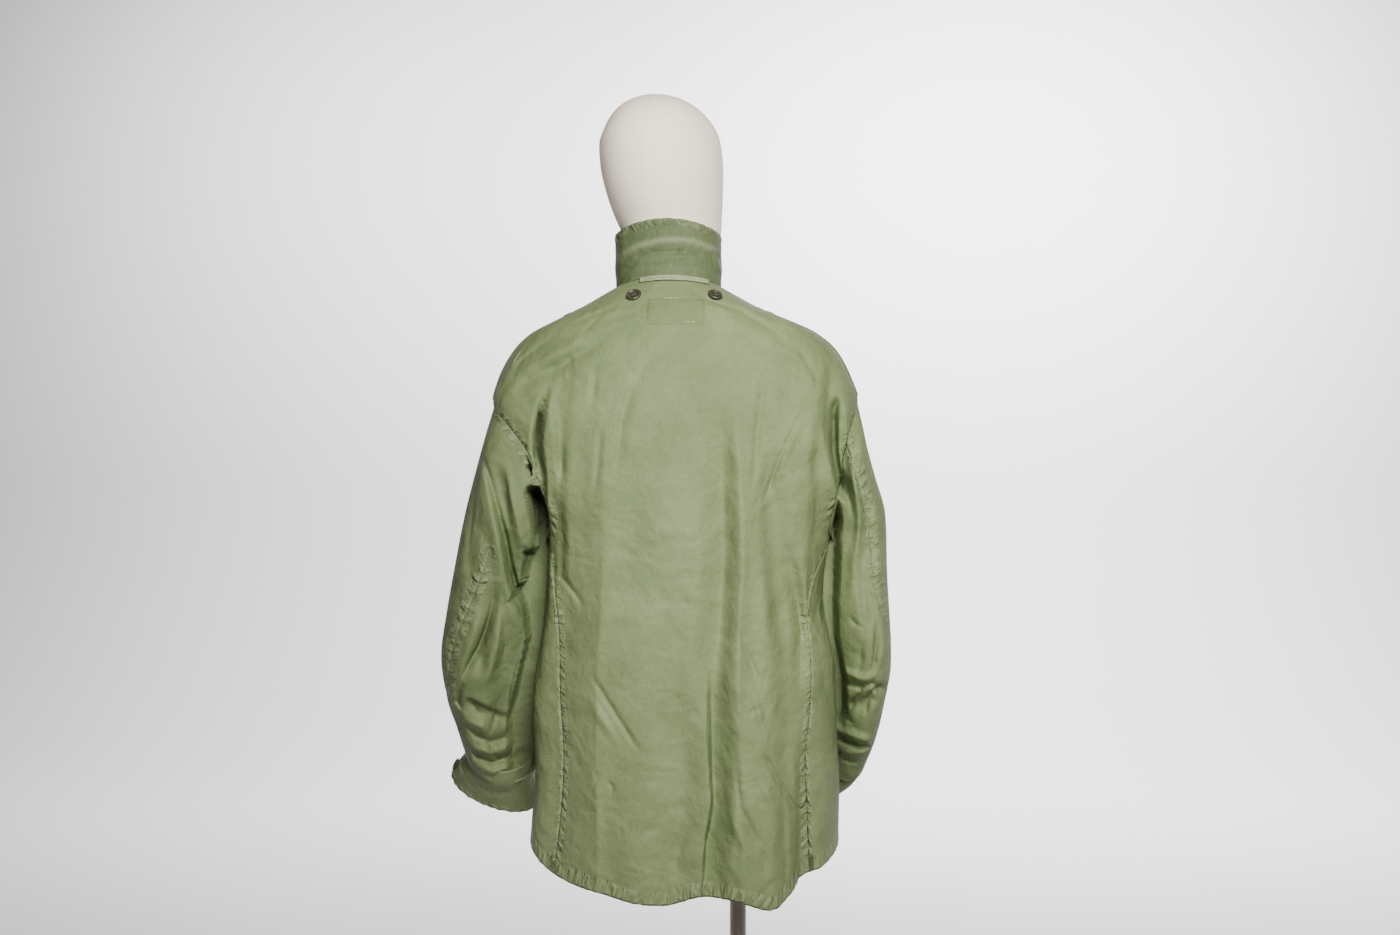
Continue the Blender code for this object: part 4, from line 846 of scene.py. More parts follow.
RIGHT_SLEEVE_CREASES = (
    # long folds beside the body's gap
    (5, 6, 0.5, ((843, 440, 0), (846, 470, -3), (843, 500, -4), (845, 520, 0))),
    (7, 6, 0.3, ((848, 450, 0), (852, 500, 3), (852, 560, 3), (852, 610, 0))),
    (6, 8, 0.3, ((858, 500, 0), (861, 560, -2.5), (862, 610, -2.5), (864, 640, 0))),
    (4, 4, 0.7, ((850, 616, 0), (856, 624, -2.5), (866, 629, 0))),
    (4, 5, 0.6, ((877, 618, 0), (876, 640, -4), (874, 662, -4), (870, 676, 0))),
    (5, 5, 0.5, ((884, 628, 0), (883, 650, 3), (880, 672, 0))),
    (5, 6, 0.5, ((862, 640, 0), (861, 660, -3), (857, 680, 0))),
    # the crossing rolls at the elbow
    (7, 7, 0.4, ((834, 664, 0), (846, 671, 5), (858, 677, 6), (868, 679, 4), (880, 672, 0))),
    (4, 6, 0.7, ((836, 676, 0), (848, 684, -5), (860, 688, -5), (872, 684, -6), (884, 690, 0))),
    (7, 7, 0.4, ((866, 684, 0), (876, 694, 5), (886, 700, 0))),
    (4, 5, 0.8, ((864, 682, 0), (858, 696, -5), (851, 710, -6), (850, 720, -4), (856, 726, 0))),
    (5, 5, 0.6, ((870, 690, 0), (866, 706, -3), (868, 722, 0))),
    (8, 8, 0.3, ((846, 690, 0), (842, 706, 4), (840, 722, 0))),
    # the heavy roll that hangs over the cuff
    (6, 9, 0.4, ((834, 722, 0), (844, 731, 6), (856, 738, 7), (868, 741, 6), (880, 736, 0))),
    (4, 6, 0.8, ((834, 733, 0), (845, 741, -6), (858, 747, -7), (872, 746, -6), (882, 738, 0))),
    (6, 6, 0.4, ((838, 745, 0), (850, 753, 4), (864, 753, 4), (874, 748, 0))),
    (4, 5, 0.6, ((838, 756, 0), (850, 762, -4), (862, 762, 0))),
)
# The fronts of the sleeves, on the front view
LEFT_SLEEVE_FRONT = (
    (12, 16, 0.5, ((318, 230, 0), (306, 300, -8), (296, 370, -9), (290, 430, -6), (288, 480, 0))),
    (16, 14, 0.3, ((340, 250, 0), (338, 330, 5), (330, 420, 5), (326, 480, 0))),
    (10, 14, 0.5, ((372, 400, 0), (350, 440, -7), (322, 470, -8), (296, 486, 0))),
    (14, 10, 0.4, ((376, 430, 0), (352, 474, 6), (320, 500, 6), (290, 512, 0))),
    (8, 12, 0.6, ((378, 470, 0), (352, 510, -7), (322, 534, -7), (292, 540, 0))),
    (12, 10, 0.4, ((380, 500, 0), (350, 546, 6), (318, 566, 6), (288, 566, 0))),
    (8, 10, 0.6, ((378, 540, 0), (346, 580, -7), (314, 594, -7), (286, 588, 0))),
)
RIGHT_SLEEVE_FRONT = (
    (12, 12, 0.5, ((-158, 230, 0), (-166, 300, -7), (-172, 370, -8), (-174, 430, -5), (-172, 480, 0))),
    (12, 14, 0.3, ((-176, 250, 0), (-182, 330, 4), (-184, 420, 4), (-184, 480, 0))),
    (14, 10, 0.5, ((-196, 420, 0), (-182, 456, -6), (-166, 474, -7), (-146, 486, 0))),
    (10, 12, 0.4, ((-198, 450, 0), (-180, 490, 5), (-162, 506, 6), (-142, 512, 0))),
    (12, 8, 0.6, ((-198, 490, 0), (-178, 526, -6), (-160, 540, -7), (-140, 544, 0))),
    (10, 12, 0.4, ((-196, 520, 0), (-176, 562, 5), (-158, 574, 6), (-136, 572, 0))),
    (10, 8, 0.6, ((-192, 560, 0), (-172, 594, -6), (-154, 604, -6), (-134, 598, 0))),
)
# Where the inner side of each arm falls in, between two steep walls; the heights are shares here
LEFT_SLEEVE_HOLLOW = (
    (16, 80, 0.0, ((532, 480, 0), (532, 492, 0.9), (535, 507, 1), (539, 524, 1), (541, 548, 1),
        (530, 566, 1), (528, 595, 1), (534, 640, 1), (524, 680, 1), (515, 720, 1), (515, 765, 0.9),
        (520, 795, 0))),
)
RIGHT_SLEEVE_HOLLOW = (
    (80, 16, 0.0, ((832, 470, 0), (833, 495, 0.8), (834, 520, 1), (833, 560, 1), (831, 600, 1),
        (831, 640, 1), (839, 680, 1), (840, 715, 0.9), (838, 745, 0))),
)
print(len(LEFT_SLEEVE_CREASES) + len(RIGHT_SLEEVE_CREASES), "creases on the backs of the sleeves")

# %% Sleeve tubes
SLEEVE_ROWS = 200
SLEEVE_BACK_COLUMNS = 126
SLEEVE_FRONT_COLUMNS = 62
SEAM_BLEND = 0.055
SLEEVE_CREASES = {
    "left": (LEFT_SLEEVE_FOLDS, LEFT_SLEEVE_CREASES, LEFT_SLEEVE_FRONT, LEFT_SLEEVE_HOLLOW),
    "right": (RIGHT_SLEEVE_FOLDS, RIGHT_SLEEVE_CREASES, RIGHT_SLEEVE_FRONT, RIGHT_SLEEVE_HOLLOW),
}
BODY_CLEARANCE = 0.0012
# where a sleeve starts and stops lying against the body
TOUCH_LOW = (0.835, 0.885)
TOUCH_HIGH = (1.150, 1.180)


def armhole_edge(name):
    """The creased armhole edge of back and front, read all the way round from the top."""
    column = -1 if name == "left" else 0
    back = back_points[ARMHOLE_ROWS, column][::-1]
    front = front_points[name][ARMHOLE_ROWS, -1]
    turns = np.concatenate((spread(0.0, 180.0, len(back) - 1), spread(180.0, 360.0, len(front) - 1)[1:]))
    return turns, np.concatenate((back, front[1:]))


def lean_on_body(points, around, side):
    """Widen a sleeve's inner side until it lies against the side of the body."""
    levels = spread(HEM_LEVEL, ARMHOLE_TOP_LEVEL, 80)
    body = bulge_out(ring_point(levels, np.full(levels.shape, 90.0 * side)))
    inner = points[:, SLEEVE_BACK_COLUMNS]
    beside = (np.interp(inner[:, 2], body[:, 2], body[:, 0]) + side * BODY_CLEARANCE)[:, None]
    touch = (ramp(inner[:, 2], *TOUCH_LOW) * (1.0 - ramp(inner[:, 2], *TOUCH_HIGH)))[:, None]
    inward = -np.cos(np.radians(around))
    moved = points.copy()
    moved[..., 0] += (beside - inner[:, :1]) * touch * ramp(inward, 0.35, 1.0)
    moved[..., 0] += (beside - moved[..., 0]) * touch * ramp(inward, 0.80, 0.96)
    return moved


def hollow_out(points, ovals, along, around, hollow):
    """Press the back of a sleeve flat onto its own middle where a hollow is drawn."""
    middle_y = ovals(along)[..., 4]
    share = crease_lift(seen_at(points), hollow) * 1000.0
    pressed = ramp(share, 0.40, 0.60) * ramp(np.sin(np.radians(around)), 0.0, 0.1)
    moved = points.copy()
    moved[..., 1] -= np.maximum(points[..., 1] - middle_y, 0.0) * pressed
    return moved


def sleeve_grid(name):
    side, ovals, first, _ = SLEEVES[name]
    folds, back_creases, front_creases, hollow = SLEEVE_CREASES[name]
    along = spread(0.0, 1.0, SLEEVE_ROWS)[:, None]
    around = np.concatenate((
        spread(0.0, 180.0, SLEEVE_BACK_COLUMNS)[:-1], spread(180.0, 360.0, SLEEVE_FRONT_COLUMNS),
    ))[None, :]
    along, around = np.broadcast_arrays(along, around)
    plain = sleeve_plain(ovals, first, side, along, around)
    normals = grid_normals(plain, closed=True) * -side
    folded = plain + normals * fold_lift(plain, folds)[..., None]
    normals = grid_normals(folded, closed=True) * -side
    creased = crease_cloth(folded, normals, back_creases, front_creases, (), SLEEVE_GAIN)
    creased = lean_on_body(creased, around, side)
    creased = hollow_out(creased, ovals, along, around, hollow)
    held = (1.0 - ease(along / SEAM_BLEND))[..., None]
    points = creased + (plain - creased) * held
    turns, edge = armhole_edge(name)
    target = np.stack([np.interp(around[0], turns, edge[:, i]) for i in range(3)], axis=-1)
    return points + (target - points[0]) * held


sleeve_points = {name: sleeve_grid(name) for name in SLEEVES}
print("left sleeve is", np.ptp(sleeve_points["left"].reshape(-1, 3), axis=0).round(3))

# %% Seams of the sleeves
LEFT_BACK_SEAM = (
    (489, 552), (484, 568), (476, 589), (471, 602), (456, 636), (451, 654), (448, 677), (447, 692),
)
LEFT_ARMHOLE = ((492, 403), (505, 417), (516, 432), (527, 449), (536, 466), (542, 482), (545, 496))
RIGHT_BACK_SEAM = (
    (841, 415), (844, 440), (856, 473), (866, 513), (870, 563), (874, 583), (881, 609), (889, 631),
)
# metres to a pixel of the photograph, at a sleeve's depth
PIXEL_ON_SLEEVE = 0.00128
SLEEVE_SEAMS = {
    "left": [(LEFT_BACK_SEAM, SEAM_BAND, 0), (LEFT_ARMHOLE, 0.014, 1)],
    "right": [(RIGHT_BACK_SEAM, 0.014, -1), (RIGHT_BACK_SEAM, 0.004, 1)],
}
sleeve_marks = {}
for name, points in sleeve_points.items():
    side = SLEEVES[name][0]
    normals = grid_normals(points, closed=True) * -side
    marks = seam_marks(seen_at(points), SLEEVE_SEAMS[name], PIXEL_ON_SLEEVE)
    marks[..., 0] = np.where(normals[..., 1] > -0.05, marks[..., 0], FAR_AWAY)
    off_armhole = ease(spread(0.0, 1.0, SLEEVE_ROWS) / 0.05)[:, None]
    sleeve_points[name] = points + normals * (seam_groove(marks) * off_armhole)[..., None]
    sleeve_marks[name] = marks
print("left seam band covers", float((sleeve_marks["left"][..., 0] < SEAM_BAND).mean().round(3)))

# %% [markdown]
# A cuff is a double band that turns in under the sleeve's edge. Its lower edge stands open, with
# a row of stitches that puckers it. The tab lies over it on the outer side.

# %% Cuffs
LEFT_CUFF = (
    (0.384, 0.850, 0.280, 0.822, -0.062, 0.075, -0.018),
    (0.400, 0.831, 0.281, 0.789, -0.075, 0.062, -0.018),
)
RIGHT_CUFF = (
    (-0.180, 0.845, -0.117, 0.823, -0.110, 0.090, -0.025),
    (-0.170, 0.820, -0.098, 0.792, -0.130, 0.070, -0.020),
)
CUFF_OVERLAP = 0.018
CUFF_INSET = {"left": 0.0038, "right": 0.0052}
CUFF_KEYS = (0.0, 0.3, 0.62, 1.0)
CUFF_ROWS = 40
CUFF_COLUMNS = 150
CUFF_RIPPLE = 0.0007
CUFF_RIPPLE_FADE = 0.016


def shrunk_oval(row, inset):
    """An oval moved inwards all round."""
    outer_x, outer_z, inner_x, inner_z, middle_y, depth, back_drop = row
    length = math.hypot(outer_x - inner_x, outer_z - inner_z)
    move_x = (outer_x - inner_x) / length * inset
    move_z = (outer_z - inner_z) / length * inset
    return (outer_x - move_x, outer_z - move_z, inner_x + move_x, inner_z + move_z,
            middle_y, depth - 2.0 * inset, back_drop)


def cuff_reader(name):
    """The cuff's ovals, from its upper edge inside the sleeve at 0 to its lower edge at 1."""
    _, ovals, _, length = SLEEVES[name]
    first = shrunk_oval(ovals(1.0 - CUFF_OVERLAP / length), CUFF_INSET[name])
    second = shrunk_oval(ovals(1.0), CUFF_INSET[name])
    rows = (first, second) + (LEFT_CUFF if name == "left" else RIGHT_CUFF)
    return smooth_table(CUFF_KEYS, rows)


def cuff_points(name, along, around, lift=0.0):
    side = SLEEVES[name][0]
    read = cuff_reader(name)
    along, around = np.broadcast_arrays(along, around)
    points = oval_point(read(along), around)
    down = oval_point(read(along + 0.02), around) - oval_point(read(along - 0.02), around)
    round_it = oval_point(read(along), around + 2.0) - oval_point(read(along), around - 2.0)
    normals = unit(np.cross(down, round_it)) * side
    return points + normals * lift, normals


def cuff_grid(name):
    along = spread(0.0, 1.0, CUFF_ROWS)[:, None]
    around = spread(0.0, 360.0, CUFF_COLUMNS)[None, :]
    points, normals = cuff_points(name, along, around)
    length = lengths_along(points, 0)[-1].mean()
    low_edge = (1.0 - along) * length
    walked = lengths_along(points, 1)[-1:]
    closing = 1.0 - ease((walked / walked[:, -1:] - 0.9) / 0.1)
    wave = ripple(walked, 31 + len(name)) * closing
    lift = wave * CUFF_RIPPLE * (1.0 - ease(low_edge / CUFF_RIPPLE_FADE))
    lift += rumple(points, RUMPLE, 9) * ease(along / 0.4) * closing
    points = points + normals * lift[..., None]
    marks = seam_marks(points, [(points[-1], 0.010, 0)])
    return points, marks


cuffs = {name: cuff_grid(name) for name in SLEEVES}
print("left cuff is", np.ptp(cuffs["left"][0].reshape(-1, 3), axis=0).round(3))

# %% Laying the large sheets
CUFF_THICKNESS = 0.0018
cloth_pieces = {}


def lay(name, points, outward, marks, worn=None, **settings):
    """Lay a sheet with its faces out. Outward is +1 where the grid's own normals point out."""
    labels = {"seam_place": marks}
    if worn is not None:
        labels["worn_edge"] = worn
    if outward < 0:
        points = points[:, ::-1]
        labels = {label: values[:, ::-1] for label, values in labels.items()}
    return lay_sheet(name, points, marks=labels, **settings)


def add_cloth(name, *given, **settings):
    cloth_pieces[name] = lay(name, *given, **settings)


add_cloth("back_panel", back_points, -1, back_marks)
for name, side in SIDES.items():
    add_cloth(f"front_panel_{name}", front_points[name], side, front_marks[name])
    add_cloth(f"sleeve_tube_{name}", sleeve_points[name], -side, sleeve_marks[name], closed=True)
    points, marks = cuffs[name]
    add_cloth(
        f"cuff_band_{name}", points, -side, marks, closed=True, thickness=CUFF_THICKNESS, offset=0.0
    )

# %% [markdown]
# The stand-up collar is two plies with a zip between them, which holds a thin hood. So it is
# thicker than the body, its top edge is hard and puckered, and a band across its middle is worn pale.

# %% Collar
COLLAR_TOP = (1.577, 1.566, 1.545, 0.0930, 0.0700, 0.0640, 0.0780)
COLLAR_BASE_DROP = 0.003
COLLAR_BASE_INSET = 0.0033
COLLAR_OPENING = 3.0
COLLAR_ROWS = 60
COLLAR_COLUMNS = 300
COLLAR_THICKNESS = 0.0026
COLLAR_RUMPLE = 0.0008
# ripples of the top edge, of the neck seam and of the outline
COLLAR_RIPPLES = (0.0005, 0.0004, 0.0002)
# the soft roll at the sides and front: its height on the collar, its reach and how far it lies out
COLLAR_ROLL = (0.42, 0.14, 0.0012)
# the row of stitches under the top edge: its distance from it, its width and its depth
COLLAR_LINE = (0.009, 0.0016, 0.0010)
# heights of the worn ridge become shares of wear
COLLAR_WEAR = 400.0
# on the photograph; the first is the worn ridge where the rolled hood inside ends
COLLAR_CREASES = (
    (6, 6, 0.2, ((614, 266, 0), (625, 254, 1.6), (639, 246, 2.2), (659, 241, 2.2), (677, 240, 2.2),
        (694, 242, 2.2), (712, 249, 1.8), (722, 256, 0))),
    (5, 5, 0.3, ((621, 279, 0), (627, 270, -1.6), (639, 258, -2.2), (654, 252, -2.2), (681, 251, -1.8),
        (699, 255, -1.2), (708, 262, 0))),
    (4, 5, 0.3, ((646, 264, 0), (672, 258, 1.3), (694, 257, 1.5), (708, 263, 1), (716, 271, 0))),
    (3, 4, 0.6, ((708, 246, 0), (712, 253, 2), (716, 263, 2.6), (720, 275, 1.8), (720, 285, 0))),
    (3, 3, 0.5, ((712, 248, 0), (716, 254, -2.2), (719, 262, 0))),
    (3, 3, 0.6, ((673, 255, 0), (680, 251, -1.6), (686, 249, 0))),
    (5, 5, 0.3, ((640, 268, 0), (660, 266, -1.2), (690, 266, -1.2), (706, 270, 0))),
)


def collar_point(height, angle):
    """The collar's middle surface, from inside the neck seam at 0 to its top edge at 1."""
    side_z, front_z, middle_x, half_width, back_depth, front_depth, _ = body_ring(NECK_LEVEL)
    base = (NECK_LEVEL - COLLAR_BASE_DROP, side_z - COLLAR_BASE_DROP, front_z - COLLAR_BASE_DROP, middle_x,
            half_width - COLLAR_BASE_INSET, back_depth - COLLAR_BASE_INSET, front_depth - COLLAR_BASE_INSET)
    mixed = [low + (high - low) * height for low, high in zip(base, COLLAR_TOP)]
    back_z, side_z, front_z, middle_x, half_width, back_depth, front_depth = mixed
    sine, cosine = sine_cosine(angle)
    y = np.where(cosine > 0.0, back_depth, front_depth) * cosine
    z = side_z * sine ** 2 + np.where(cosine > 0.0, back_z, front_z) * cosine ** 2
    return np.stack(np.broadcast_arrays(middle_x + half_width * sine, y, z), axis=-1)


def collar_grid():
    height = spread(0.0, 1.0, COLLAR_ROWS)[:, None]
    angle = spread(-180.0 + COLLAR_OPENING, 180.0 - COLLAR_OPENING, COLLAR_COLUMNS)[None, :]
    points = collar_point(height, angle)
    normals = -grid_normals(points)
    normals *= np.sign((normals * (points - points.mean(axis=(0, 1)))).sum(axis=-1).mean())
    tall = lengths_along(points, 0)
    from_top = tall[-1:] - tall
    along = lengths_along(points, 1)[-1:]
    top_ripple, seam_ripple, outline_ripple = COLLAR_RIPPLES
    lift = ripple(along + from_top * 0.4, 21) * top_ripple * (1.0 - ease(from_top / 0.012))
    lift += ripple(along * 0.8, 22) * seam_ripple * (1.0 - ease(tall / 0.010))
    behind = ease(normals[..., 1] / 0.3)
    place, reach, out = COLLAR_ROLL
    lift += out * np.exp(-((height - place) / reach) ** 2) * (1.0 - behind)
    place, width, depth = COLLAR_LINE
    lift -= depth * np.exp(-((from_top - place) / width) ** 2)
    seen = seen_at(points)
    lift += crease_lift(seen, COLLAR_CREASES) * behind
    lift += rumple(points, COLLAR_RUMPLE, 6)
    worn = crease_lift(seen, COLLAR_CREASES[:1]) * behind * COLLAR_WEAR
    points = points + normals * lift[..., None]
    points[..., 2] += ripple(along, 23) * outline_ripple * ease(height)
    marks = seam_marks(points, [(points[-1], 0.010, 0), (points[0], 0.006, 0)])
    return points, marks, worn


collar_points, collar_marks, collar_worn = collar_grid()
add_cloth(
    "collar_stand", collar_points, -1, collar_marks, collar_worn, thickness=COLLAR_THICKNESS,
    offset=0.0,
)

# %% [markdown]
# The form under the jacket is papier-mache under a tight linen cover. Its rings repeat the CAD part:
# a trunk, the shoulders that carry the jacket, a neck and a plain egg for a head.

# %% Dress form
HEAD_TURN = 19.0
HEAD_TURN_HEIGHTS = (1.520, 1.580)
SEAT_LEVELS = (1.444, 1.460, 1.4725, 1.4835)
FORM_COLUMNS = 128
FORM_ROWS = 210
# z, middle_x, middle_y, half_width, half_depth
FORM_TRUNK = (
    (0.860, 0.060, 0.000, 0.1400, 0.0950),
    (0.875, 0.060, 0.000, 0.1520, 0.1040),
    (0.930, 0.060, 0.000, 0.1580, 0.1120),
    (0.980, 0.062, 0.000, 0.1480, 0.1020),
    (1.030, 0.064, 0.000, 0.1350, 0.0920),
    (1.100, 0.068, 0.000, 0.1430, 0.0980),
    (1.170, 0.073, 0.000, 0.1550, 0.1070),
    (1.260, 0.080, 0.000, 0.1650, 0.1130),
    (1.330, 0.084, 0.000, 0.1720, 0.1050),
    (1.385, 0.086, 0.000, 0.1880, 0.0900),
)
FORM_HEAD = (
    (1.515, 0.0920, -0.001, 0.0585, 0.0550),
    (1.540, 0.0920, -0.002, 0.0580, 0.0560),
    (1.560, 0.0905, -0.008, 0.0590, 0.0620),
    (1.580, 0.0898, -0.024, 0.0660, 0.0830),
    (1.600, 0.0938, -0.020, 0.0708, 0.0900),
    (1.629, 0.0980, -0.014, 0.0761, 0.0970),
    (1.660, 0.1010, -0.010, 0.0795, 0.1010),
    (1.684, 0.1025, -0.008, 0.0795, 0.1000),
    (1.704, 0.1015, -0.008, 0.0746, 0.0940),
    (1.718, 0.1020, -0.009, 0.0680, 0.0860),
    (1.732, 0.1028, -0.010, 0.0570, 0.0720),
    (1.745, 0.1030, -0.012, 0.0388, 0.0500),
    (1.752, 0.1035, -0.012, 0.0200, 0.0260),
    (1.755, 0.1035, -0.012, 0.0, 0.0),
)
# the room under the jacket's shoulder, and how much more of it there is at back and front
SEAT_GAP = 0.0004
SEAT_HOLLOW = 0.012
NECK_INSET = 0.009
NECK_DROP = 0.004
# the cover stops this far before the crown's own point
CROWN_GAP = 0.0006
# a row of the cover that lies on the head
HEAD_ROW = 150
# metres to a pixel of the photograph, at the head's depth
PIXEL_ON_HEAD = 0.00134
turns = spread(0.0, 360.0, FORM_COLUMNS)


def form_ring(row):
    """A level oval of the form; the head's ovals turn about the upright axis."""
    z, middle_x, middle_y, half_width, half_depth = row
    turn = math.radians(HEAD_TURN) * float(ramp(z, *HEAD_TURN_HEIGHTS))
    sine, cosine = sine_cosine(turns)
    across = half_width * sine
    back = half_depth * cosine
    x = middle_x + across * math.cos(turn) + back * math.sin(turn)
    y = middle_y + back * math.cos(turn) - across * math.sin(turn)
    return np.stack((x, y, np.full(x.shape, z)), axis=-1)


def seat_ring(level):
    """The form's shoulder just under the jacket."""
    inset = CLOTH / 2.0 + SEAT_GAP + SEAT_HOLLOW * np.cos(np.radians(turns)) ** 2
    level = np.full(turns.shape, level)
    normal = surface_normal(ring_point, level, turns)
    return ring_point(level, turns) - normal * inset[:, None]


def neck_ring():
    points = ring_point(np.full(turns.shape, NECK_LEVEL), turns)
    away = points - (float(body_ring(NECK_LEVEL)[2]), 0.0, 0.0)
    away[:, 2] = 0.0
    return points - unit(away) * NECK_INSET - (0.0, 0.0, NECK_DROP)


def form_grid():
    z, x, y, half_width, half_depth = FORM_TRUNK[0]
    rings = [form_ring((z, x, y, share * half_width, share * half_depth)) for share in (0.02, 0.5)]
    rings += [form_ring(row) for row in FORM_TRUNK]
    rings += [seat_ring(level) for level in SEAT_LEVELS]
    rings += [neck_ring()]
    rings += [form_ring(row) for row in FORM_HEAD]
    beyond = np.roll(rings[-2][:-1], FORM_COLUMNS // 2, axis=0)
    rings = np.array(rings + [np.concatenate((beyond, beyond[:1]))])
    walked = lengths_along(rings, 0).mean(axis=1)
    read = smooth_table(walked, rings.reshape(len(rings), -1))
    at = np.linspace(0.0, walked[-2] - CROWN_GAP, FORM_ROWS)
    return read(at).reshape(FORM_ROWS, -1, 3)


HEAD_SEAMS = [
    (((648, 95), (644, 115), (642, 130), (643, 160), (645, 200), (647, 230)), 0.004, 0),
    (((600, 125), (612, 118), (632, 112), (655, 110), (680, 116), (700, 126)), 0.004, 0),
]
form_points = form_grid()
form_marks = seam_marks(seen_at(form_points), HEAD_SEAMS, PIXEL_ON_HEAD)
form_facing = grid_normals(form_points, closed=True)[..., 1]
behind = form_facing * np.sign(form_facing[HEAD_ROW, 0]) > 0.0
form_marks[..., 0] = np.where(behind, form_marks[..., 0], FAR_AWAY)
form_cover = lay("form_cover", form_points, -1, form_marks, closed=True, thickness=0.0)
print("form is", np.ptp(form_points.reshape(-1, 3), axis=0).round(3))

# %% [markdown]
# Pockets, flaps, the fly and the straps are layers on the body. Each asks the body for its own
# place, gets the same creases as the panel below and then lies out by the layers under it.

# %% Layers of trimming
PATCH_CLOTH = 0.0012
# a cuff is two plies laid on both sides of its middle
CUFF_FACE = 0.0009
LAYER_GAP = 0.0002
# first and last place across, lowest and highest level, rows, columns, layers below and swelling;
# across is an angle on the chest, and a share of the way from the centre to the side at the hip
POCKET_LAYERS = {
    "chest_pouch": (137.0, 166.0, 1.130, 1.262, 46, 40, 0, 0.0008),
    "chest_cover": (136.0, 167.0, 1.232, 1.285, 20, 42, 1, 0.0006),
    "hip_pouch": (0.115, 0.445, 0.790, 0.955, 56, 50, 0, 0.0010),
    "hip_cover": (0.100, 0.460, 0.925, 0.985, 22, 54, 1, 0.0006),
}
FLY_HALF_WIDTH = 0.031
FLY_LEVELS = (0.745, 1.490)
STRAP_HALF_WIDTH = 0.024
STRAP_LEVELS = (1.366, 1.4835)
# the tab's place along the cuff, and its place round it in degrees
TAB_ALONG = (0.60, 0.90)
TAB_AROUND = (-62.0, 34.0)
LOOP_REACH = (0.0350, -0.0515)
LOOP_LEVELS = (1.4962, 1.5030)
LOOP_CORD = 0.0017
LOOP_RISE = 0.0006


def layer_lift(layers_below):
    """How far the middle of a sewn layer lies out over the outer face of the cloth."""
    return LAYER_GAP + PATCH_CLOTH / 2.0 + layers_below * (PATCH_CLOTH + LAYER_GAP)


def trim_grid(level, angle, layers_below, extra=0.0):
    """A grid of points that lies out over the creased body."""
    level, angle = np.broadcast_arrays(level, angle)
    plain = cloth_point(level, angle)
    normals = surface_normal(cloth_point, level, angle)
    creased = crease_cloth(plain, normals)
    return creased + normals * (layer_lift(layers_below) + np.asarray(extra))[..., None]


def lay_trim(name, points, width=0.0075):
    """Lay a layer of trimming with its faces out and stitches along all its edges."""
    normals = grid_normals(points)
    middle = points.reshape(-1, 3).mean(axis=0)
    # a place well inside the body, at the layer's own height
    inside = (middle[0] * 0.2 + 0.06, 0.0, middle[2])
    outward = 1 if (normals * (middle - inside)).sum(axis=-1).mean() > 0.0 else -1
    edges = (points[0], points[-1], points[:, 0], points[:, -1])
    marks = seam_marks(points, [(edge, width, 0) for edge in edges])
    add_cloth(name, points, outward, marks, thickness=PATCH_CLOTH, offset=0.0)


def pillow(rows, columns, height):
    """A soft swelling in the middle of a patch, with flat stitched borders."""
    up = spread(0.0, 1.0, rows)[:, None]
    on = spread(0.0, 1.0, columns)[None, :]
    return height * ease(np.minimum(up, 1.0 - up) / 0.3) * ease(np.minimum(on, 1.0 - on) / 0.3)


def hip_angle(level, share, side):
    edge = side_seam(level)[..., 0]
    return side * (180.0 - (180.0 - edge) * share)


for name, side in SIDES.items():
    for layer, (first, last, low, high, rows, columns, below, swelling) in POCKET_LAYERS.items():
        level, across = np.meshgrid(spread(low, high, rows), spread(first, last, columns), indexing="ij")
        angle = hip_angle(level, across, side) if layer.startswith("hip") else side * across
        lay_trim(f"{layer}_{name}", trim_grid(level, angle, below, pillow(rows, columns, swelling)))
    level = spread(*STRAP_LEVELS, 44)[:, None]
    depth = (body_ring(level)[..., 4] + body_ring(level)[..., 5]) / 2.0
    swing = np.degrees(np.arcsin(STRAP_HALF_WIDTH / depth))
    angle = side * (90.0 + swing * spread(-1.0, 1.0, 22)[None, :])
    lay_trim(f"strap_{name}", trim_grid(level, angle, 0))
    along = spread(*TAB_ALONG, 14)[:, None]
    around = spread(*TAB_AROUND, 50)[None, :]
    tab, _ = cuff_points(name, along, around, CUFF_FACE + layer_lift(0))
    lay_trim(f"wrist_tab_{name}", tab, 0.005)
level = spread(*FLY_LEVELS, 210)[:, None]
half_width = body_ring(level)[..., 3]
room = np.minimum(1.0, half_width / 0.120)
reach = spread(FLY_HALF_WIDTH, -FLY_HALF_WIDTH, 26)[None, :] * room
fly_angle = 180.0 - np.degrees(np.arcsin(reach / half_width))
lay_trim("fly_front", trim_grid(level, fly_angle, 0), 0.009)
level = spread(*LOOP_LEVELS, 17)[:, None]
half_width = body_ring(level)[..., 3]
first, last = [np.degrees(np.arcsin(reach / half_width)) for reach in LOOP_REACH]
loop_angle = first + (last - first) * spread(0.0, 1.0, 70)[None, :]
cords = np.abs(np.sin(spread(0.0, math.tau, 17)))[:, None] * LOOP_CORD
lay_trim("hanger", trim_grid(level, loop_angle, 0, LOOP_RISE + cords), 0.0035)
print(len(cloth_pieces), "sheets")

# %% [markdown]
# Buttons are turned horn with a dished face and four holes, sewn on with a cross of thread. Snap
# caps are pressed metal.

# %% Buttons and snaps
SMALL_BUTTON = 0.0085
HOOD_BUTTON = 0.0100
# the holes and the thread in them, as shares of the button's radius
HOLE_RADIUS = 0.11
HOLE_PLACE = 0.27
HOLE_HEIGHT = 0.15
HOLE_DEPTH = 0.22
SEWN_HEIGHT = 0.235
SEWN_SHIFT = 0.05
SEWN_RADIUS = 0.045
SEWN_LENGTH = 0.80
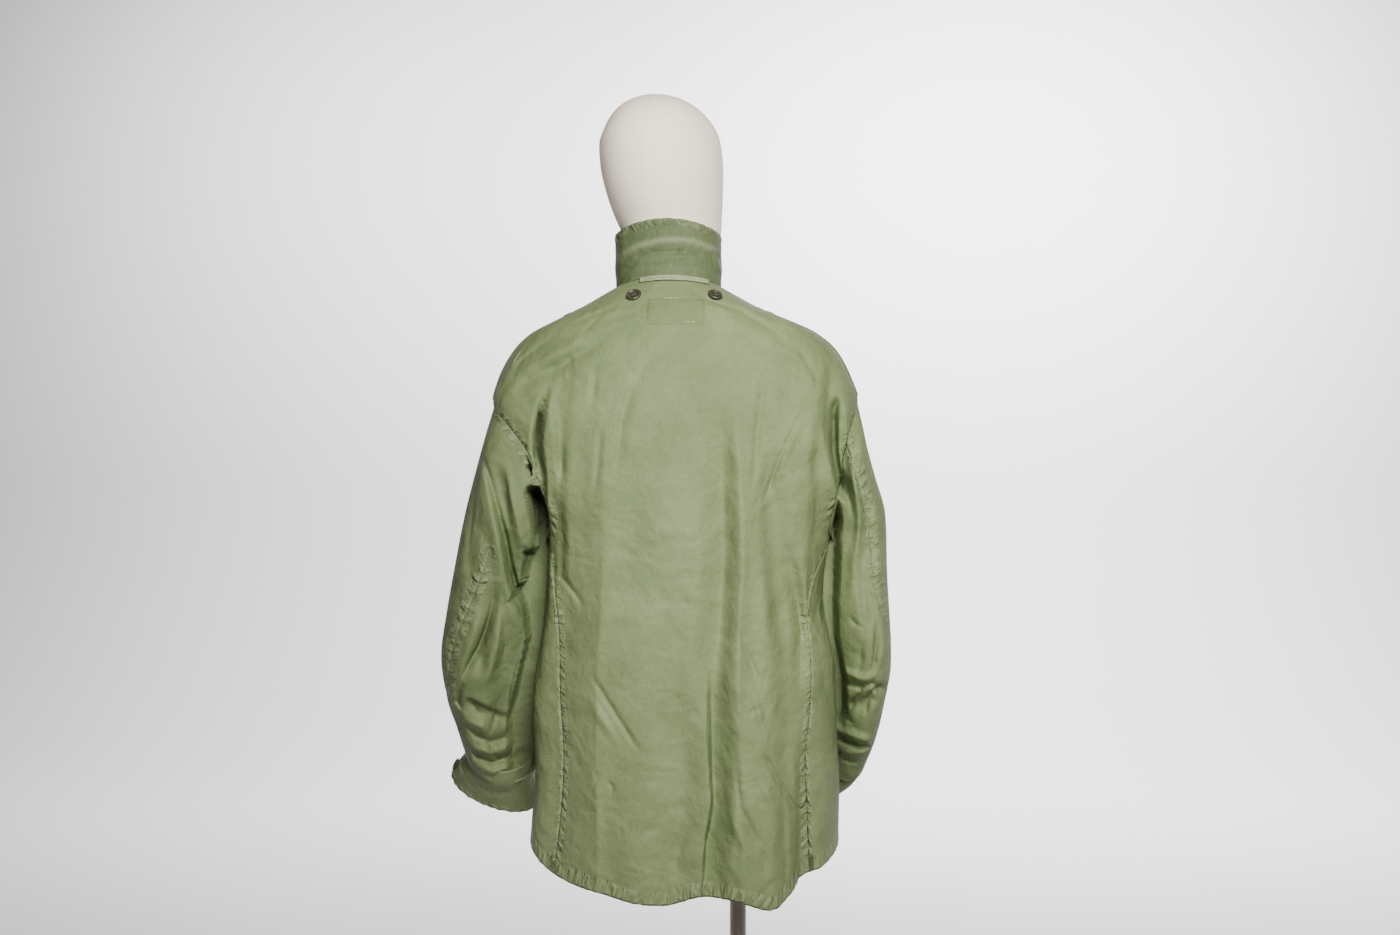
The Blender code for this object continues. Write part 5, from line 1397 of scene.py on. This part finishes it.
# radius as a share of the button's, height as a share of its radius
BUTTON_PROFILE = (
    (0.0, 0.0), (0.86, 0.0), (0.96, 0.05), (1.0, 0.13), (0.99, 0.20), (0.95, 0.27), (0.88, 0.325),
    (0.80, 0.33), (0.72, 0.29), (0.66, 0.22), (0.60, 0.19), (0.50, 0.18), (0.0, 0.18),
)
SNAP_PROFILE = (
    (0.0, 0.0), (0.98, 0.0), (1.0, 0.06), (0.97, 0.13), (0.84, 0.25), (0.60, 0.37), (0.30, 0.44), (0.0, 0.46),
)
SNAP_RADIUS = 0.0065
SNAP_LEVELS = (0.860, 0.985, 1.110, 1.235, 1.360)
SNAP_SIDES = 32
BUTTON_SIDES = 40
HOOD_BUTTON_X = {"left": 0.1339, "right": 0.0318}
HOOD_BUTTON_Z = 1.476
STRAP_BUTTON_LEVEL = 1.478
# how far along the cuff its button is sewn
CUFF_BUTTON_ALONG = 0.75
# room between a button and what it is sewn on
BUTTON_GAP = 0.0006
# how far each button is turned about its own axis, in radians
BUTTON_TURNS = {"hood": 0.35, "strap": 0.1, "cuff": 0.6}


def link_shape(name, shape):
    """Turn a finished bmesh into an object of the scene."""
    mesh = bpy.data.meshes.new(name)
    shape.to_mesh(mesh)
    shape.free()
    piece = bpy.data.objects.new(name, mesh)
    bpy.context.scene.collection.objects.link(piece)
    return piece


def turned(name, profile, radius, sides=BUTTON_SIDES):
    """A turned piece round +Z, as a spin of its profile."""
    shape = bmesh.new()
    verts = [shape.verts.new((radius * share, 0.0, radius * height)) for share, height in profile]
    edges = [shape.edges.new(pair) for pair in zip(verts, verts[1:])]
    bmesh.ops.spin(
        shape, geom=verts + edges, cent=(0.0, 0.0, 0.0), axis=(0.0, 0.0, 1.0), angle=math.tau, steps=sides,
        use_merge=True,
    )
    bmesh.ops.remove_doubles(shape, verts=shape.verts, dist=1e-6)
    bmesh.ops.recalc_face_normals(shape, faces=shape.faces)
    piece = link_shape(name, shape)
    piece.data.shade_smooth()
    piece.data.set_sharp_from_angle(angle=math.radians(40.0))
    return piece


def set_on(piece, place, axis, spin=0.0):
    """Move a piece's own mesh to a place, with its +Z along an axis."""
    turn = Vector((0.0, 0.0, 1.0)).rotation_difference(Vector(axis)).to_matrix().to_4x4()
    piece.data.transform(Matrix.Translation(Vector(place)) @ turn @ Matrix.Rotation(spin, 4, "Z"))
    return piece


def add_rod(shape, radius, depth, segments, place):
    bmesh.ops.create_cone(
        shape, cap_ends=True, segments=segments, radius1=radius, radius2=radius, depth=depth, matrix=place,
    )


def pierce(piece, radius):
    """Cut the four holes through a button's dish."""
    shape = bmesh.new()
    for x, y in ((1, 1), (-1, 1), (-1, -1), (1, -1)):
        place = Matrix.Translation((radius * HOLE_PLACE * x, radius * HOLE_PLACE * y, radius * HOLE_HEIGHT))
        add_rod(shape, radius * HOLE_RADIUS, radius * HOLE_DEPTH, 14, place)
    holes = link_shape("holes", shape)
    cut = piece.modifiers.new("holes", "BOOLEAN")
    cut.operation = "DIFFERENCE"
    cut.solver = "EXACT"
    cut.object = holes
    bpy.context.view_layer.update()
    pierced = bpy.data.meshes.new_from_object(piece.evaluated_get(bpy.context.evaluated_depsgraph_get()))
    piece.modifiers.remove(cut)
    piece.data = pierced
    bpy.data.objects.remove(holes)
    return piece


def sewing_thread(name, radius):
    """Two crossed stitches over the four holes."""
    shape = bmesh.new()
    for turn in (45.0, 135.0):
        for shift in (-SEWN_SHIFT, SEWN_SHIFT):
            place = (
                Matrix.Translation((0.0, 0.0, radius * SEWN_HEIGHT))
                @ Matrix.Rotation(math.radians(turn), 4, "Z")
                @ Matrix.Translation((0.0, radius * shift, 0.0))
                @ Matrix.Rotation(math.radians(90.0), 4, "Y")
            )
            add_rod(shape, radius * SEWN_RADIUS, radius * SEWN_LENGTH, 10, place)
    piece = link_shape(name, shape)
    piece.data.shade_smooth()
    return piece


buttons = {}
threads = {}


def sew_button(name, radius, place, axis, spin):
    buttons[name] = set_on(pierce(turned(name, BUTTON_PROFILE, radius), radius), place, axis, spin)
    threads[name] = set_on(sewing_thread(name + "_thread", radius), place, axis, spin)


def body_place(level, angle, lift):
    """A place over the creased body and its outward direction."""
    level = np.array([[level]])
    angle = np.array([[angle]])
    plain = cloth_point(level, angle)
    normal = surface_normal(cloth_point, level, angle)
    creased = crease_cloth(plain, normal)
    return (creased + normal * lift)[0, 0], normal[0, 0]


def place_on_back(x, z):
    """Level and angle of the place on the back at a given x and z."""
    level, angle = z, 0.0
    for _ in range(30):
        here = cloth_point(level, angle)
        angle += math.degrees((x - here[0]) / float(body_ring(level)[3]))
        level += z - here[2]
    return level, angle


OVER_PATCH = layer_lift(0) + PATCH_CLOTH / 2.0
for name, x in HOOD_BUTTON_X.items():
    level, angle = place_on_back(x, HOOD_BUTTON_Z)
    place, axis = body_place(level, angle, 0.0004)
    sew_button(f"hood_disc_{name}", HOOD_BUTTON, place, axis, BUTTON_TURNS["hood"])
for name, side in SIDES.items():
    place, axis = body_place(STRAP_BUTTON_LEVEL, side * 90.0, OVER_PATCH + BUTTON_GAP)
    sew_button(f"strap_disc_{name}", SMALL_BUTTON, place, axis, BUTTON_TURNS["strap"])
    along = np.array([[CUFF_BUTTON_ALONG]])
    place, axis = cuff_points(name, along, np.array([[0.0]]), CUFF_FACE + OVER_PATCH + 0.0002)
    sew_button(f"cuff_disc_{name}", SMALL_BUTTON, place[0, 0], axis[0, 0], BUTTON_TURNS["cuff"])
snaps = {}
for count, level in enumerate(SNAP_LEVELS, start=1):
    cap = turned(f"snap_cap_{count}", SNAP_PROFILE, SNAP_RADIUS, SNAP_SIDES)
    snaps[count] = set_on(cap, *body_place(level, 180.0, OVER_PATCH + BUTTON_GAP))
print(len(buttons), "buttons and", len(snaps), "snaps")

# %% [markdown]
# The cloth's look is one shader node group, so that all panels share it. It mixes two greens, adds
# the pale slubs of the yarn and returns a height in metres. A second group turns a seam mark into
# puckers, rows of stitches and wear. A material adds the heights and feeds one bump.
#
# A long chain of math nodes is hard to read in code, so small helpers write it as times, plus and
# minus. A socket knows the node tree that it is in, so the helpers ask it and need no tree.

# %% Shader helpers
COLOUR = "NodeSocketColor"
VALUE = "NodeSocketFloat"


def add_node(tree, kind, settings=(), **values):
    """Add a node, set its properties and its sockets' values, and return it."""
    node = tree.nodes.new(kind)
    for key, value in dict(settings).items():
        setattr(node, key, value)
    for key, value in values.items():
        node.inputs[key].default_value = value
    return node


def wire(value, socket):
    """Feed a socket from another socket, or set it to a number or a colour."""
    if isinstance(value, bpy.types.NodeSocket):
        socket.id_data.links.new(value, socket)
    else:
        socket.default_value = value


def calculate(operation, *values, clamp=False):
    """A math node of sockets and numbers, returned as its output."""
    tree = next(value.id_data for value in values if isinstance(value, bpy.types.NodeSocket))
    node = add_node(tree, "ShaderNodeMath", {"operation": operation, "use_clamp": clamp})
    for value, socket in zip(values, node.inputs):
        wire(value, socket)
    return node.outputs[0]


def times(total, *others, clamp=False):
    for other in others:
        total = calculate("MULTIPLY", total, other, clamp=clamp)
    return total


def plus(total, *others, clamp=False):
    for other in others:
        total = calculate("ADD", total, other, clamp=clamp)
    return total


def minus(value, other):
    return calculate("SUBTRACT", value, other)


def away_from(value, middle):
    """How far a value lies from a middle, on either side."""
    return calculate("ABSOLUTE", minus(value, middle))


def dashes(along, length, first, last):
    """A row of dashes: each length fades in or out between two shares of it."""
    return fade(calculate("FRACT", calculate("DIVIDE", along, length)), first, last)


def fade(value, first, last):
    """A smooth step of a socket from 0 at first to 1 at last."""
    node = add_node(value.id_data, "ShaderNodeMapRange", {"interpolation_type": "SMOOTHSTEP"})
    wire(first, node.inputs["From Min"])
    wire(last, node.inputs["From Max"])
    wire(value, node.inputs["Value"])
    return node.outputs["Result"]


def noise(vector, scale, detail, roughness, dimensions="3D", distortion=0.0):
    node = add_node(
        vector.id_data, "ShaderNodeTexNoise", {"noise_dimensions": dimensions},
        Scale=scale, Detail=detail, Roughness=roughness, Distortion=distortion,
    )
    wire(vector, node.inputs["Vector"])
    return node.outputs["Fac"]


def mix_colours(share, first, last):
    node = add_node(share.id_data, "ShaderNodeMix", {"data_type": "RGBA"})
    for value, index in ((share, 0), (first, 6), (last, 7)):
        wire(value, node.inputs[index])
    return node.outputs[2]


def axes(vector):
    """The three axes of a vector socket."""
    split = add_node(vector.id_data, "ShaderNodeSeparateXYZ")
    wire(vector, split.inputs[0])
    return tuple(split.outputs)


def flat_vector(x, y):
    joined = add_node(x.id_data, "ShaderNodeCombineXYZ")
    wire(x, joined.inputs[0])
    wire(y, joined.inputs[1])
    return joined.outputs[0]


def object_place(tree):
    return add_node(tree, "ShaderNodeTexCoord").outputs["Object"]


def cloth_axes(tree):
    """Metres across and along the cloth, from a sheet's own map."""
    return axes(add_node(tree, "ShaderNodeUVMap", {"uv_map": "cloth_map"}).outputs["UV"])[:2]


def read_mark(tree, label, output):
    return add_node(tree, "ShaderNodeAttribute", {"attribute_name": label}).outputs[output]


def woven(across, along, across_pitch, along_pitch):
    """Threads that cross each other, as a height from -1 to 1."""
    warp = calculate("SINE", times(across, math.tau / across_pitch))
    weft = calculate("SINE", times(along, math.tau / along_pitch))
    return times(warp, weft)


def new_group(name, inputs, outputs):
    """A shader node group with named sockets; returns its tree, its inputs and its outputs."""
    tree = bpy.data.node_groups.new(name, "ShaderNodeTree")
    for label, kind, value in inputs:
        tree.interface.new_socket(label, in_out="INPUT", socket_type=kind).default_value = value
    for label, kind in outputs:
        tree.interface.new_socket(label, in_out="OUTPUT", socket_type=kind)
    return tree, add_node(tree, "NodeGroupInput").outputs, add_node(tree, "NodeGroupOutput").inputs


# %% Cloth look
# slubs across and along a metre of cloth
SLUBS = (700.0, 95.0)
COTTON_PITCH = (0.0007, 0.0011)
PALE_YARN = (0.40, 0.44, 0.28, 1.0)
CRUMPLE_HEIGHT = 0.0024
SOFT_HEIGHT = 0.007
WEAVE_HEIGHT = 0.00002
SLUB_HEIGHT = 0.00005


def make_cloth_look():
    tree, given, result = new_group(
        "cloth look",
        (("Shade", COLOUR, (0.17, 0.20, 0.10, 1.0)), ("Light", COLOUR, (0.26, 0.30, 0.16, 1.0))),
        (("Colour", COLOUR), ("Roughness", VALUE), ("Height", VALUE)),
    )
    place = object_place(tree)
    across, along = cloth_axes(tree)
    broad = noise(place, 3.2, 3.0, 0.6)
    patchy = noise(place, 22.0, 4.0, 0.65)
    yarns = flat_vector(times(across, SLUBS[0]), times(along, SLUBS[1]))
    slub = fade(noise(yarns, 1.0, 2.0, 0.6, "2D"), 0.46, 0.78)
    share = fade(plus(times(broad, 0.9), times(patchy, 0.5)), 0.48, 0.92)
    colour = mix_colours(share, given["Shade"], given["Light"])
    wire(mix_colours(times(slub, 0.10), colour, PALE_YARN), result["Colour"])
    wire(minus(0.70, times(share, 0.12)), result["Roughness"])
    crumple = times(noise(place, 55.0, 4.0, 0.55, distortion=0.35), CRUMPLE_HEIGHT)
    soft = times(noise(place, 17.0, 2.0, 0.5, distortion=0.6), SOFT_HEIGHT)
    weave = times(woven(across, along, *COTTON_PITCH), WEAVE_HEIGHT)
    wire(plus(crumple, soft, weave, times(slub, SLUB_HEIGHT)), result["Height"])
    return tree


cloth_look = make_cloth_look()
print(cloth_look.name, len(cloth_look.nodes), "nodes")

# %% Stitched seam
# puckers along a metre of seam, and how far they slant across the band
PUCKERS = 135.0
PUCKER_SLANT = 0.55
# where the two rows of stitches lie, as shares of the band's width
STITCH_ROWS = (0.16, 0.92)
STITCH_LENGTH = 0.0034
GROOVE_DEPTH = 0.0005
THREAD_HEIGHT = 0.0004


def make_stitched_seam():
    tree, given, result = new_group(
        "stitched seam",
        (("Pucker", VALUE, 0.0022),),
        (("Height", VALUE), ("Worn", VALUE), ("Thread", VALUE)),
    )
    distance, along, width = axes(read_mark(tree, "seam_place", "Vector"))
    off = calculate("DIVIDE", distance, width)
    band = times(fade(off, 1.35, 0.85), fade(off, 0.02, 0.14))
    spot = flat_vector(plus(times(along, PUCKERS), times(off, PUCKER_SLANT)), times(off, 0.75))
    pucker = minus(noise(spot, 1.0, 1.5, 0.55, "2D", 0.4), 0.5)
    relief = times(pucker, band, given["Pucker"])
    groove = times(fade(off, 0.16, 0.0), -GROOVE_DEPTH)
    rows = plus(*[fade(times(away_from(off, row), width), 0.0008, 0.0001) for row in STITCH_ROWS])
    thread = times(rows, dashes(along, STITCH_LENGTH, 0.70, 0.60), clamp=True)
    height = plus(relief, groove, times(rows, -GROOVE_DEPTH), times(thread, THREAD_HEIGHT))
    wire(height, result["Height"])
    wire(times(fade(pucker, -0.02, 0.14), band), result["Worn"])
    wire(thread, result["Thread"])
    return tree


stitched_seam = make_stitched_seam()
print(stitched_seam.name, len(stitched_seam.nodes), "nodes")

# %% [markdown]
# Below the collar a label was once sewn on and taken off again. It left an outline, a little less
# faded cloth inside it, and a few stitches. These are drawn from distances to a rectangle.

# %% Print of a removed label
# middle and half size of the label, in x and z
LABEL_MIDDLE = (0.0807, 1.4530)
LABEL_HALF = (0.0350, 0.0170)
# first x, last x and z of each short row of stitches that is left
LABEL_STITCHES = ((0.0757, 0.0957, 1.4712), (0.0570, 0.0712, 1.4392))
LABEL_STITCH_LENGTH = 0.0056


def make_label_print():
    outputs = (("Height", VALUE), ("Outline", VALUE), ("Thread", VALUE))
    tree, _, result = new_group("label print", (), outputs)
    place = object_place(tree)
    x, y, z = axes(place)
    on_back = fade(y, 0.02, 0.05)
    sides = zip((x, z), LABEL_MIDDLE, LABEL_HALF)
    edge = calculate("MAXIMUM", *[minus(away_from(value, middle), half) for value, middle, half in sides])
    broken = fade(noise(place, 260.0, 2.0, 0.6), 0.35, 0.60)
    line = times(fade(calculate("ABSOLUTE", edge), 0.0012, 0.0003), broken, on_back)
    inside = times(fade(edge, 0.0004, -0.0008), on_back)
    rows = []
    for first, last, level in LABEL_STITCHES:
        half = (last - first) / 2.0
        row = fade(away_from(x, (first + last) / 2.0), half, half - 0.0006)
        rows.append(times(row, fade(away_from(z, level), 0.0008, 0.0003)))
    threads = times(plus(*rows), dashes(x, LABEL_STITCH_LENGTH, 0.20, 0.34), on_back)
    wire(plus(times(line, -0.0004), times(threads, 0.0005)), result["Height"])
    wire(plus(times(line, 0.40), times(inside, 0.20)), result["Outline"])
    wire(threads, result["Thread"])
    return tree


label_print = make_label_print()
print(label_print.name, len(label_print.nodes), "nodes")

# %% [markdown]
# A material holds the shader and what feeds it. Washed cotton is matt, so its specular is low. Each
# kind of cloth mixes two greens at random, and the collar and trim take darker greens. The left
# sleeve's darker copy of the olive is painted shade: the shadow on that side is painted into its colour.

# %% Cloth materials
WORN_COTTON = (0.42, 0.47, 0.27, 1.0)
SEAM_THREAD = (0.30, 0.34, 0.20, 1.0)
UNFADED_COTTON = (0.075, 0.10, 0.036, 1.0)
LABEL_THREAD = (0.36, 0.40, 0.24, 1.0)
OLIVE = ((0.132, 0.170, 0.068, 1.0), (0.184, 0.226, 0.098, 1.0))


def new_material(name, specular=0.5):
    """A material; returns it with its node tree and its shader."""
    material = bpy.data.materials.new(name)
    material.use_nodes = True
    shader = material.node_tree.nodes["Principled BSDF"]
    shader.inputs["Specular IOR Level"].default_value = specular
    return material, material.node_tree, shader


def add_group(tree, group, **values):
    return add_node(tree, "ShaderNodeGroup", {"node_tree": group}, **values).outputs


def add_relief(shader, height, distance=1.0):
    """Feed a height to the shader's normal through one bump."""
    bump = add_node(shader.id_data, "ShaderNodeBump", Distance=distance, Strength=1.0)
    wire(height, bump.inputs["Height"])
    wire(bump.outputs["Normal"], shader.inputs["Normal"])


def cloth_material(name, shade, light, pucker=0.0050, printed=False):
    material, tree, shader = new_material(name, specular=0.18)
    look = add_group(tree, cloth_look, Shade=shade, Light=light)
    seam = add_group(tree, stitched_seam, Pucker=pucker)
    rubbed = read_mark(tree, "worn_edge", "Fac")
    worn = plus(times(seam["Worn"], 0.16), times(rubbed, 0.26), clamp=True)
    colour = mix_colours(worn, look["Colour"], WORN_COTTON)
    colour = mix_colours(times(seam["Thread"], 0.5), colour, SEAM_THREAD)
    height = plus(look["Height"], seam["Height"])
    if printed:
        left_over = add_group(tree, label_print)
        colour = mix_colours(left_over["Outline"], colour, UNFADED_COTTON)
        colour = mix_colours(left_over["Thread"], colour, LABEL_THREAD)
        height = plus(height, left_over["Height"])
    wire(colour, shader.inputs["Base Color"])
    wire(look["Roughness"], shader.inputs["Roughness"])
    add_relief(shader, height)
    return material


olive = cloth_material("washed olive sateen", *OLIVE)
olive_back = cloth_material("washed olive back", *OLIVE, printed=True)
worn_tape = cloth_material(
    "worn olive tape", (0.200, 0.240, 0.118, 1.0), (0.270, 0.310, 0.165, 1.0), pucker=0.0010
)
olive_collar = cloth_material(
    "olive collar", (0.074, 0.098, 0.040, 1.0), (0.106, 0.136, 0.058, 1.0), pucker=0.0032
)
# painted shade: a darker copy of the olive for the left sleeve, cuff and tab, standing in for the shadow on
# that side
olive_painted_shade = cloth_material("olive sleeve", (0.108, 0.140, 0.056, 1.0), (0.152, 0.188, 0.081, 1.0))
olive_trim = cloth_material(
    "olive trim", (0.112, 0.145, 0.058, 1.0), (0.164, 0.202, 0.087, 1.0), pucker=0.0040
)
print("materials", olive.name, olive_trim.name)

# %% Linen, horn, caps and the stand's metals
LINEN_SHADE = (0.90, 0.77, 0.60, 1.0)
LINEN_LIGHT = (1.0, 0.91, 0.76, 1.0)
LINEN_PITCH = 0.0012
# a small stain under the right side of the head
STAIN_PLACE = (0.0300, 0.0250, 1.5950)
STAIN = (0.72, 0.50, 0.20, 1.0)
GRAIN_HEIGHT = 0.00004


def plain_material(name, colour, roughness, metallic=0.0):
    """A material with fine uneven wear, so that no part of it is one flat colour."""
    material, tree, shader = new_material(name)
    place = object_place(tree)
    darker = tuple(channel * 0.72 for channel in colour)
    cloudy = noise(place, 60.0, 4.0, 0.6)
    grain = noise(place, 900.0, 2.0, 0.6)
    wire(mix_colours(cloudy, darker + (1.0,), colour + (1.0,)), shader.inputs["Base Color"])
    wire(plus(roughness - 0.06, times(grain, 0.12)), shader.inputs["Roughness"])
    wire(metallic, shader.inputs["Metallic"])
    add_relief(shader, grain, GRAIN_HEIGHT)
    return material


def linen_material():
    material, tree, shader = new_material("cream linen", specular=0.25)
    place = object_place(tree)
    broad = noise(place, 7.0, 3.0, 0.6)
    fine = noise(place, 260.0, 3.0, 0.7)
    colour = mix_colours(plus(times(broad, 0.7), times(fine, 0.3)), LINEN_SHADE, LINEN_LIGHT)
    away = add_node(tree, "ShaderNodeVectorMath", {"operation": "DISTANCE"})
    wire(place, away.inputs[0])
    wire(STAIN_PLACE, away.inputs[1])
    stained = fade(away.outputs["Value"], 0.0045, 0.0015)
    wire(mix_colours(stained, colour, STAIN), shader.inputs["Base Color"])
    wire(0.9, shader.inputs["Roughness"])
    weave = woven(*cloth_axes(tree), LINEN_PITCH, LINEN_PITCH)
    seam = add_group(tree, stitched_seam, Pucker=0.0005)
    add_relief(shader, plus(times(weave, 0.00006), seam["Height"], times(fine, 0.0002)))
    return material


linen = linen_material()
horn = plain_material("dark horn", (0.044, 0.042, 0.024), 0.36)
dark_thread = plain_material("dark thread", (0.060, 0.062, 0.038), 0.7)
cap_metal = plain_material("dark snap caps", (0.085, 0.085, 0.065), 0.40, 0.8)
pole_metal = plain_material("grey brown pole", (0.34, 0.300, 0.260), 0.42, 0.6)
base_metal = plain_material("dark base plate", (0.085, 0.083, 0.080), 0.48, 0.6)
print(len(bpy.data.materials), "materials")

# %% [markdown]
# Each piece takes its place in the imported part: it rides on the one body, stands in for the CAD
# nodes that it replaces and takes its one material.

# %% Finishing the pieces
REPLACED = {"back_panel": "back", "collar_stand": "collar", "fly_front": "fly", "hanger": "hanger_loop"}
REPLACED_PAIRS = {
    "front_panel": "front", "sleeve_tube": "sleeve", "cuff_band": "cuff", "chest_pouch": "chest_pocket",
    "chest_cover": "chest_flap", "hip_pouch": "hip_pocket", "hip_cover": "hip_flap",
    "strap": "shoulder_strap", "wrist_tab": "cuff_tab",
}
for sheet, node in REPLACED_PAIRS.items():
    REPLACED.update({f"{sheet}_{name}": f"{node}_{name}" for name in SLEEVES})
BODY_CLOTH = ("back", "front", "sleeve", "cuff_band", "collar")
# the left sleeve, cuff and tab wear the darker copy of the olive, which is painted shade
OWN_CLOTH = {
    "collar_stand": olive_collar, "back_panel": olive_back, "hanger": worn_tape,
    "sleeve_tube_left": olive_painted_shade, "cuff_band_left": olive_painted_shade, "wrist_tab_left": olive_painted_shade,
}


def coat(piece, material):
    """Give a piece its one material."""
    piece.data.materials.clear()
    piece.data.materials.append(material)


def place_piece(piece, node, material):
    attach(piece, "root")
    coat(piece, material)
    if node:
        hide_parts(node)


for name, piece in cloth_pieces.items():
    body = name.startswith(BODY_CLOTH)
    material = OWN_CLOTH.get(name, olive if body else olive_trim)
    place_piece(piece, REPLACED[name], material)
place_piece(form_cover, "form", linen)
for name, piece in buttons.items():
    place_piece(piece, name.replace("disc", "button"), horn)
    place_piece(threads[name], None, dark_thread)
for count, piece in snaps.items():
    place_piece(piece, f"snap_{count}", cap_metal)
for node, material in (("pole", pole_metal), ("pole_flange", pole_metal), ("base", base_metal)):
    coat(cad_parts[node], material)

# the piece that holds each cut
for name, piece in cloth_pieces.items():
    support = {"cuff_band": "sleeve_tube", "wrist_tab": "cuff_band"}.get(name.rsplit("_", 1)[0])
    support = f"{support}_{name.rsplit('_', 1)[1]}" if support else "form_cover"

# %% [markdown]
# The stage is a pale studio: a floor that sweeps up into a wall. One soft light hangs just over the
# camera, and a weak bluish one stands further left. A third fills the front, two more light the
# wall, and a faint sky keeps the deepest shadows from going black.

# %% Stage, lights and camera
WALL_Y = -3.6
STAGE_WIDTH = 9.0
SWEEP = 1.2
STAGE_TOP = 5.0
FLOOR_END_Y = 4.5
SWEEP_STEPS = 12
WALL_PAINT = (0.74, 0.74, 0.745, 1.0)
FLOOR_PAINT = (0.42, 0.42, 0.42, 1.0)
# between these places in y the floor's grey turns into the wall's white
PAINT_CHANGE = (-2.6, -0.6)
SKY = (1.0, 0.76, 1.0, 1.0)
SKY_STRENGTH = 0.075
BACKDROP = (0.75, 0.75, 0.75, 1.0)
WHITE = (1.0, 1.0, 1.0)
MIDDLE = (0.07, 0.0, 1.15)
# place, target, size, watts and colour
LIGHTS = {
    "key": ((-0.16, 1.34, 1.80), (0.05, 0.0, 1.15), (0.5, 0.5), 47.0, WHITE),
    "second": ((2.0, 2.2, 2.0), MIDDLE, (1.0, 1.2), 2.0, (0.82, 0.90, 1.0)),
    "front fill": ((0.6, -2.4, 2.2), MIDDLE, (1.6, 1.6), 20.0, WHITE),
    "wall wash": ((-1.5, -1.4, 3.2), (-1.6, WALL_Y, 1.6), (2.6, 0.8), 440.0, WHITE),
    "wall glow": ((1.6, -1.6, 3.2), (1.4, WALL_Y, 1.9), (2.0, 0.8), 120.0, WHITE),
}
LENS_LENGTH = 25.714
SENSOR_WIDTH = 36.0


def make_stage():
    shape = bmesh.new()
    line = [(FLOOR_END_Y, 0.0), (WALL_Y + SWEEP, 0.0)]
    for step in range(1, SWEEP_STEPS + 1):
        turn = math.radians(90.0 * step / SWEEP_STEPS)
        line.append((WALL_Y + SWEEP - SWEEP * math.sin(turn), SWEEP - SWEEP * math.cos(turn)))
    line.append((WALL_Y, STAGE_TOP))
    left = [shape.verts.new((-STAGE_WIDTH / 2.0, y, z)) for y, z in line]
    right = [shape.verts.new((STAGE_WIDTH / 2.0, y, z)) for y, z in line]
    for i in range(len(line) - 1):
        shape.faces.new((left[i], left[i + 1], right[i + 1], right[i]))
    bmesh.ops.recalc_face_normals(shape, faces=shape.faces)
    piece = link_shape("studio_sweep", shape)
    piece.data.shade_smooth()
    return piece


def studio_paint():
    material, tree, shader = new_material("studio paint")
    near = fade(axes(object_place(tree))[1], *PAINT_CHANGE)
    wire(mix_colours(near, WALL_PAINT, FLOOR_PAINT), shader.inputs["Base Color"])
    wire(0.95, shader.inputs["Roughness"])
    return material


sweep = make_stage()
sweep.data.materials.append(studio_paint())


def add_light(name, place, target, size, watts, colour):
    light = bpy.data.lights.new(name, "AREA")
    light.shape = "RECTANGLE"
    light.size, light.size_y = size
    light.energy = watts
    light.color = colour
    lamp = bpy.data.objects.new(name, light)
    lamp.location = place
    lamp.rotation_euler = (Vector(target) - Vector(place)).to_track_quat("-Z", "Y").to_euler()
    lamp.visible_camera = False
    bpy.context.scene.collection.objects.link(lamp)


def add_sky():
    """A faint sky. Past the edge of the stage a pale backdrop shows, which lights nothing."""
    world = bpy.data.worlds.new("studio")
    bpy.context.scene.world = world
    world.use_nodes = True
    nodes = world.node_tree.nodes
    sky = nodes["Background"]
    wire(SKY, sky.inputs["Color"])
    wire(SKY_STRENGTH, sky.inputs["Strength"])
    backdrop = add_node(world.node_tree, "ShaderNodeBackground", Color=BACKDROP)
    either = add_node(world.node_tree, "ShaderNodeMixShader")
    wire(add_node(world.node_tree, "ShaderNodeLightPath").outputs["Is Camera Ray"], either.inputs[0])
    wire(sky.outputs[0], either.inputs[1])
    wire(backdrop.outputs[0], either.inputs[2])
    wire(either.outputs[0], nodes["World Output"].inputs["Surface"])


for name, settings in LIGHTS.items():
    add_light(name, *settings)
add_sky()
lens = bpy.data.cameras.new("photograph")
lens.lens = LENS_LENGTH
lens.sensor_width = SENSOR_WIDTH
camera = bpy.data.objects.new("photograph", lens)
camera.location = CAMERA_PLACE
camera.rotation_euler = (math.radians(90.0), 0.0, math.radians(180.0))
bpy.context.scene.collection.objects.link(camera)
bpy.context.scene.camera = camera
print("camera at", tuple(camera.location))
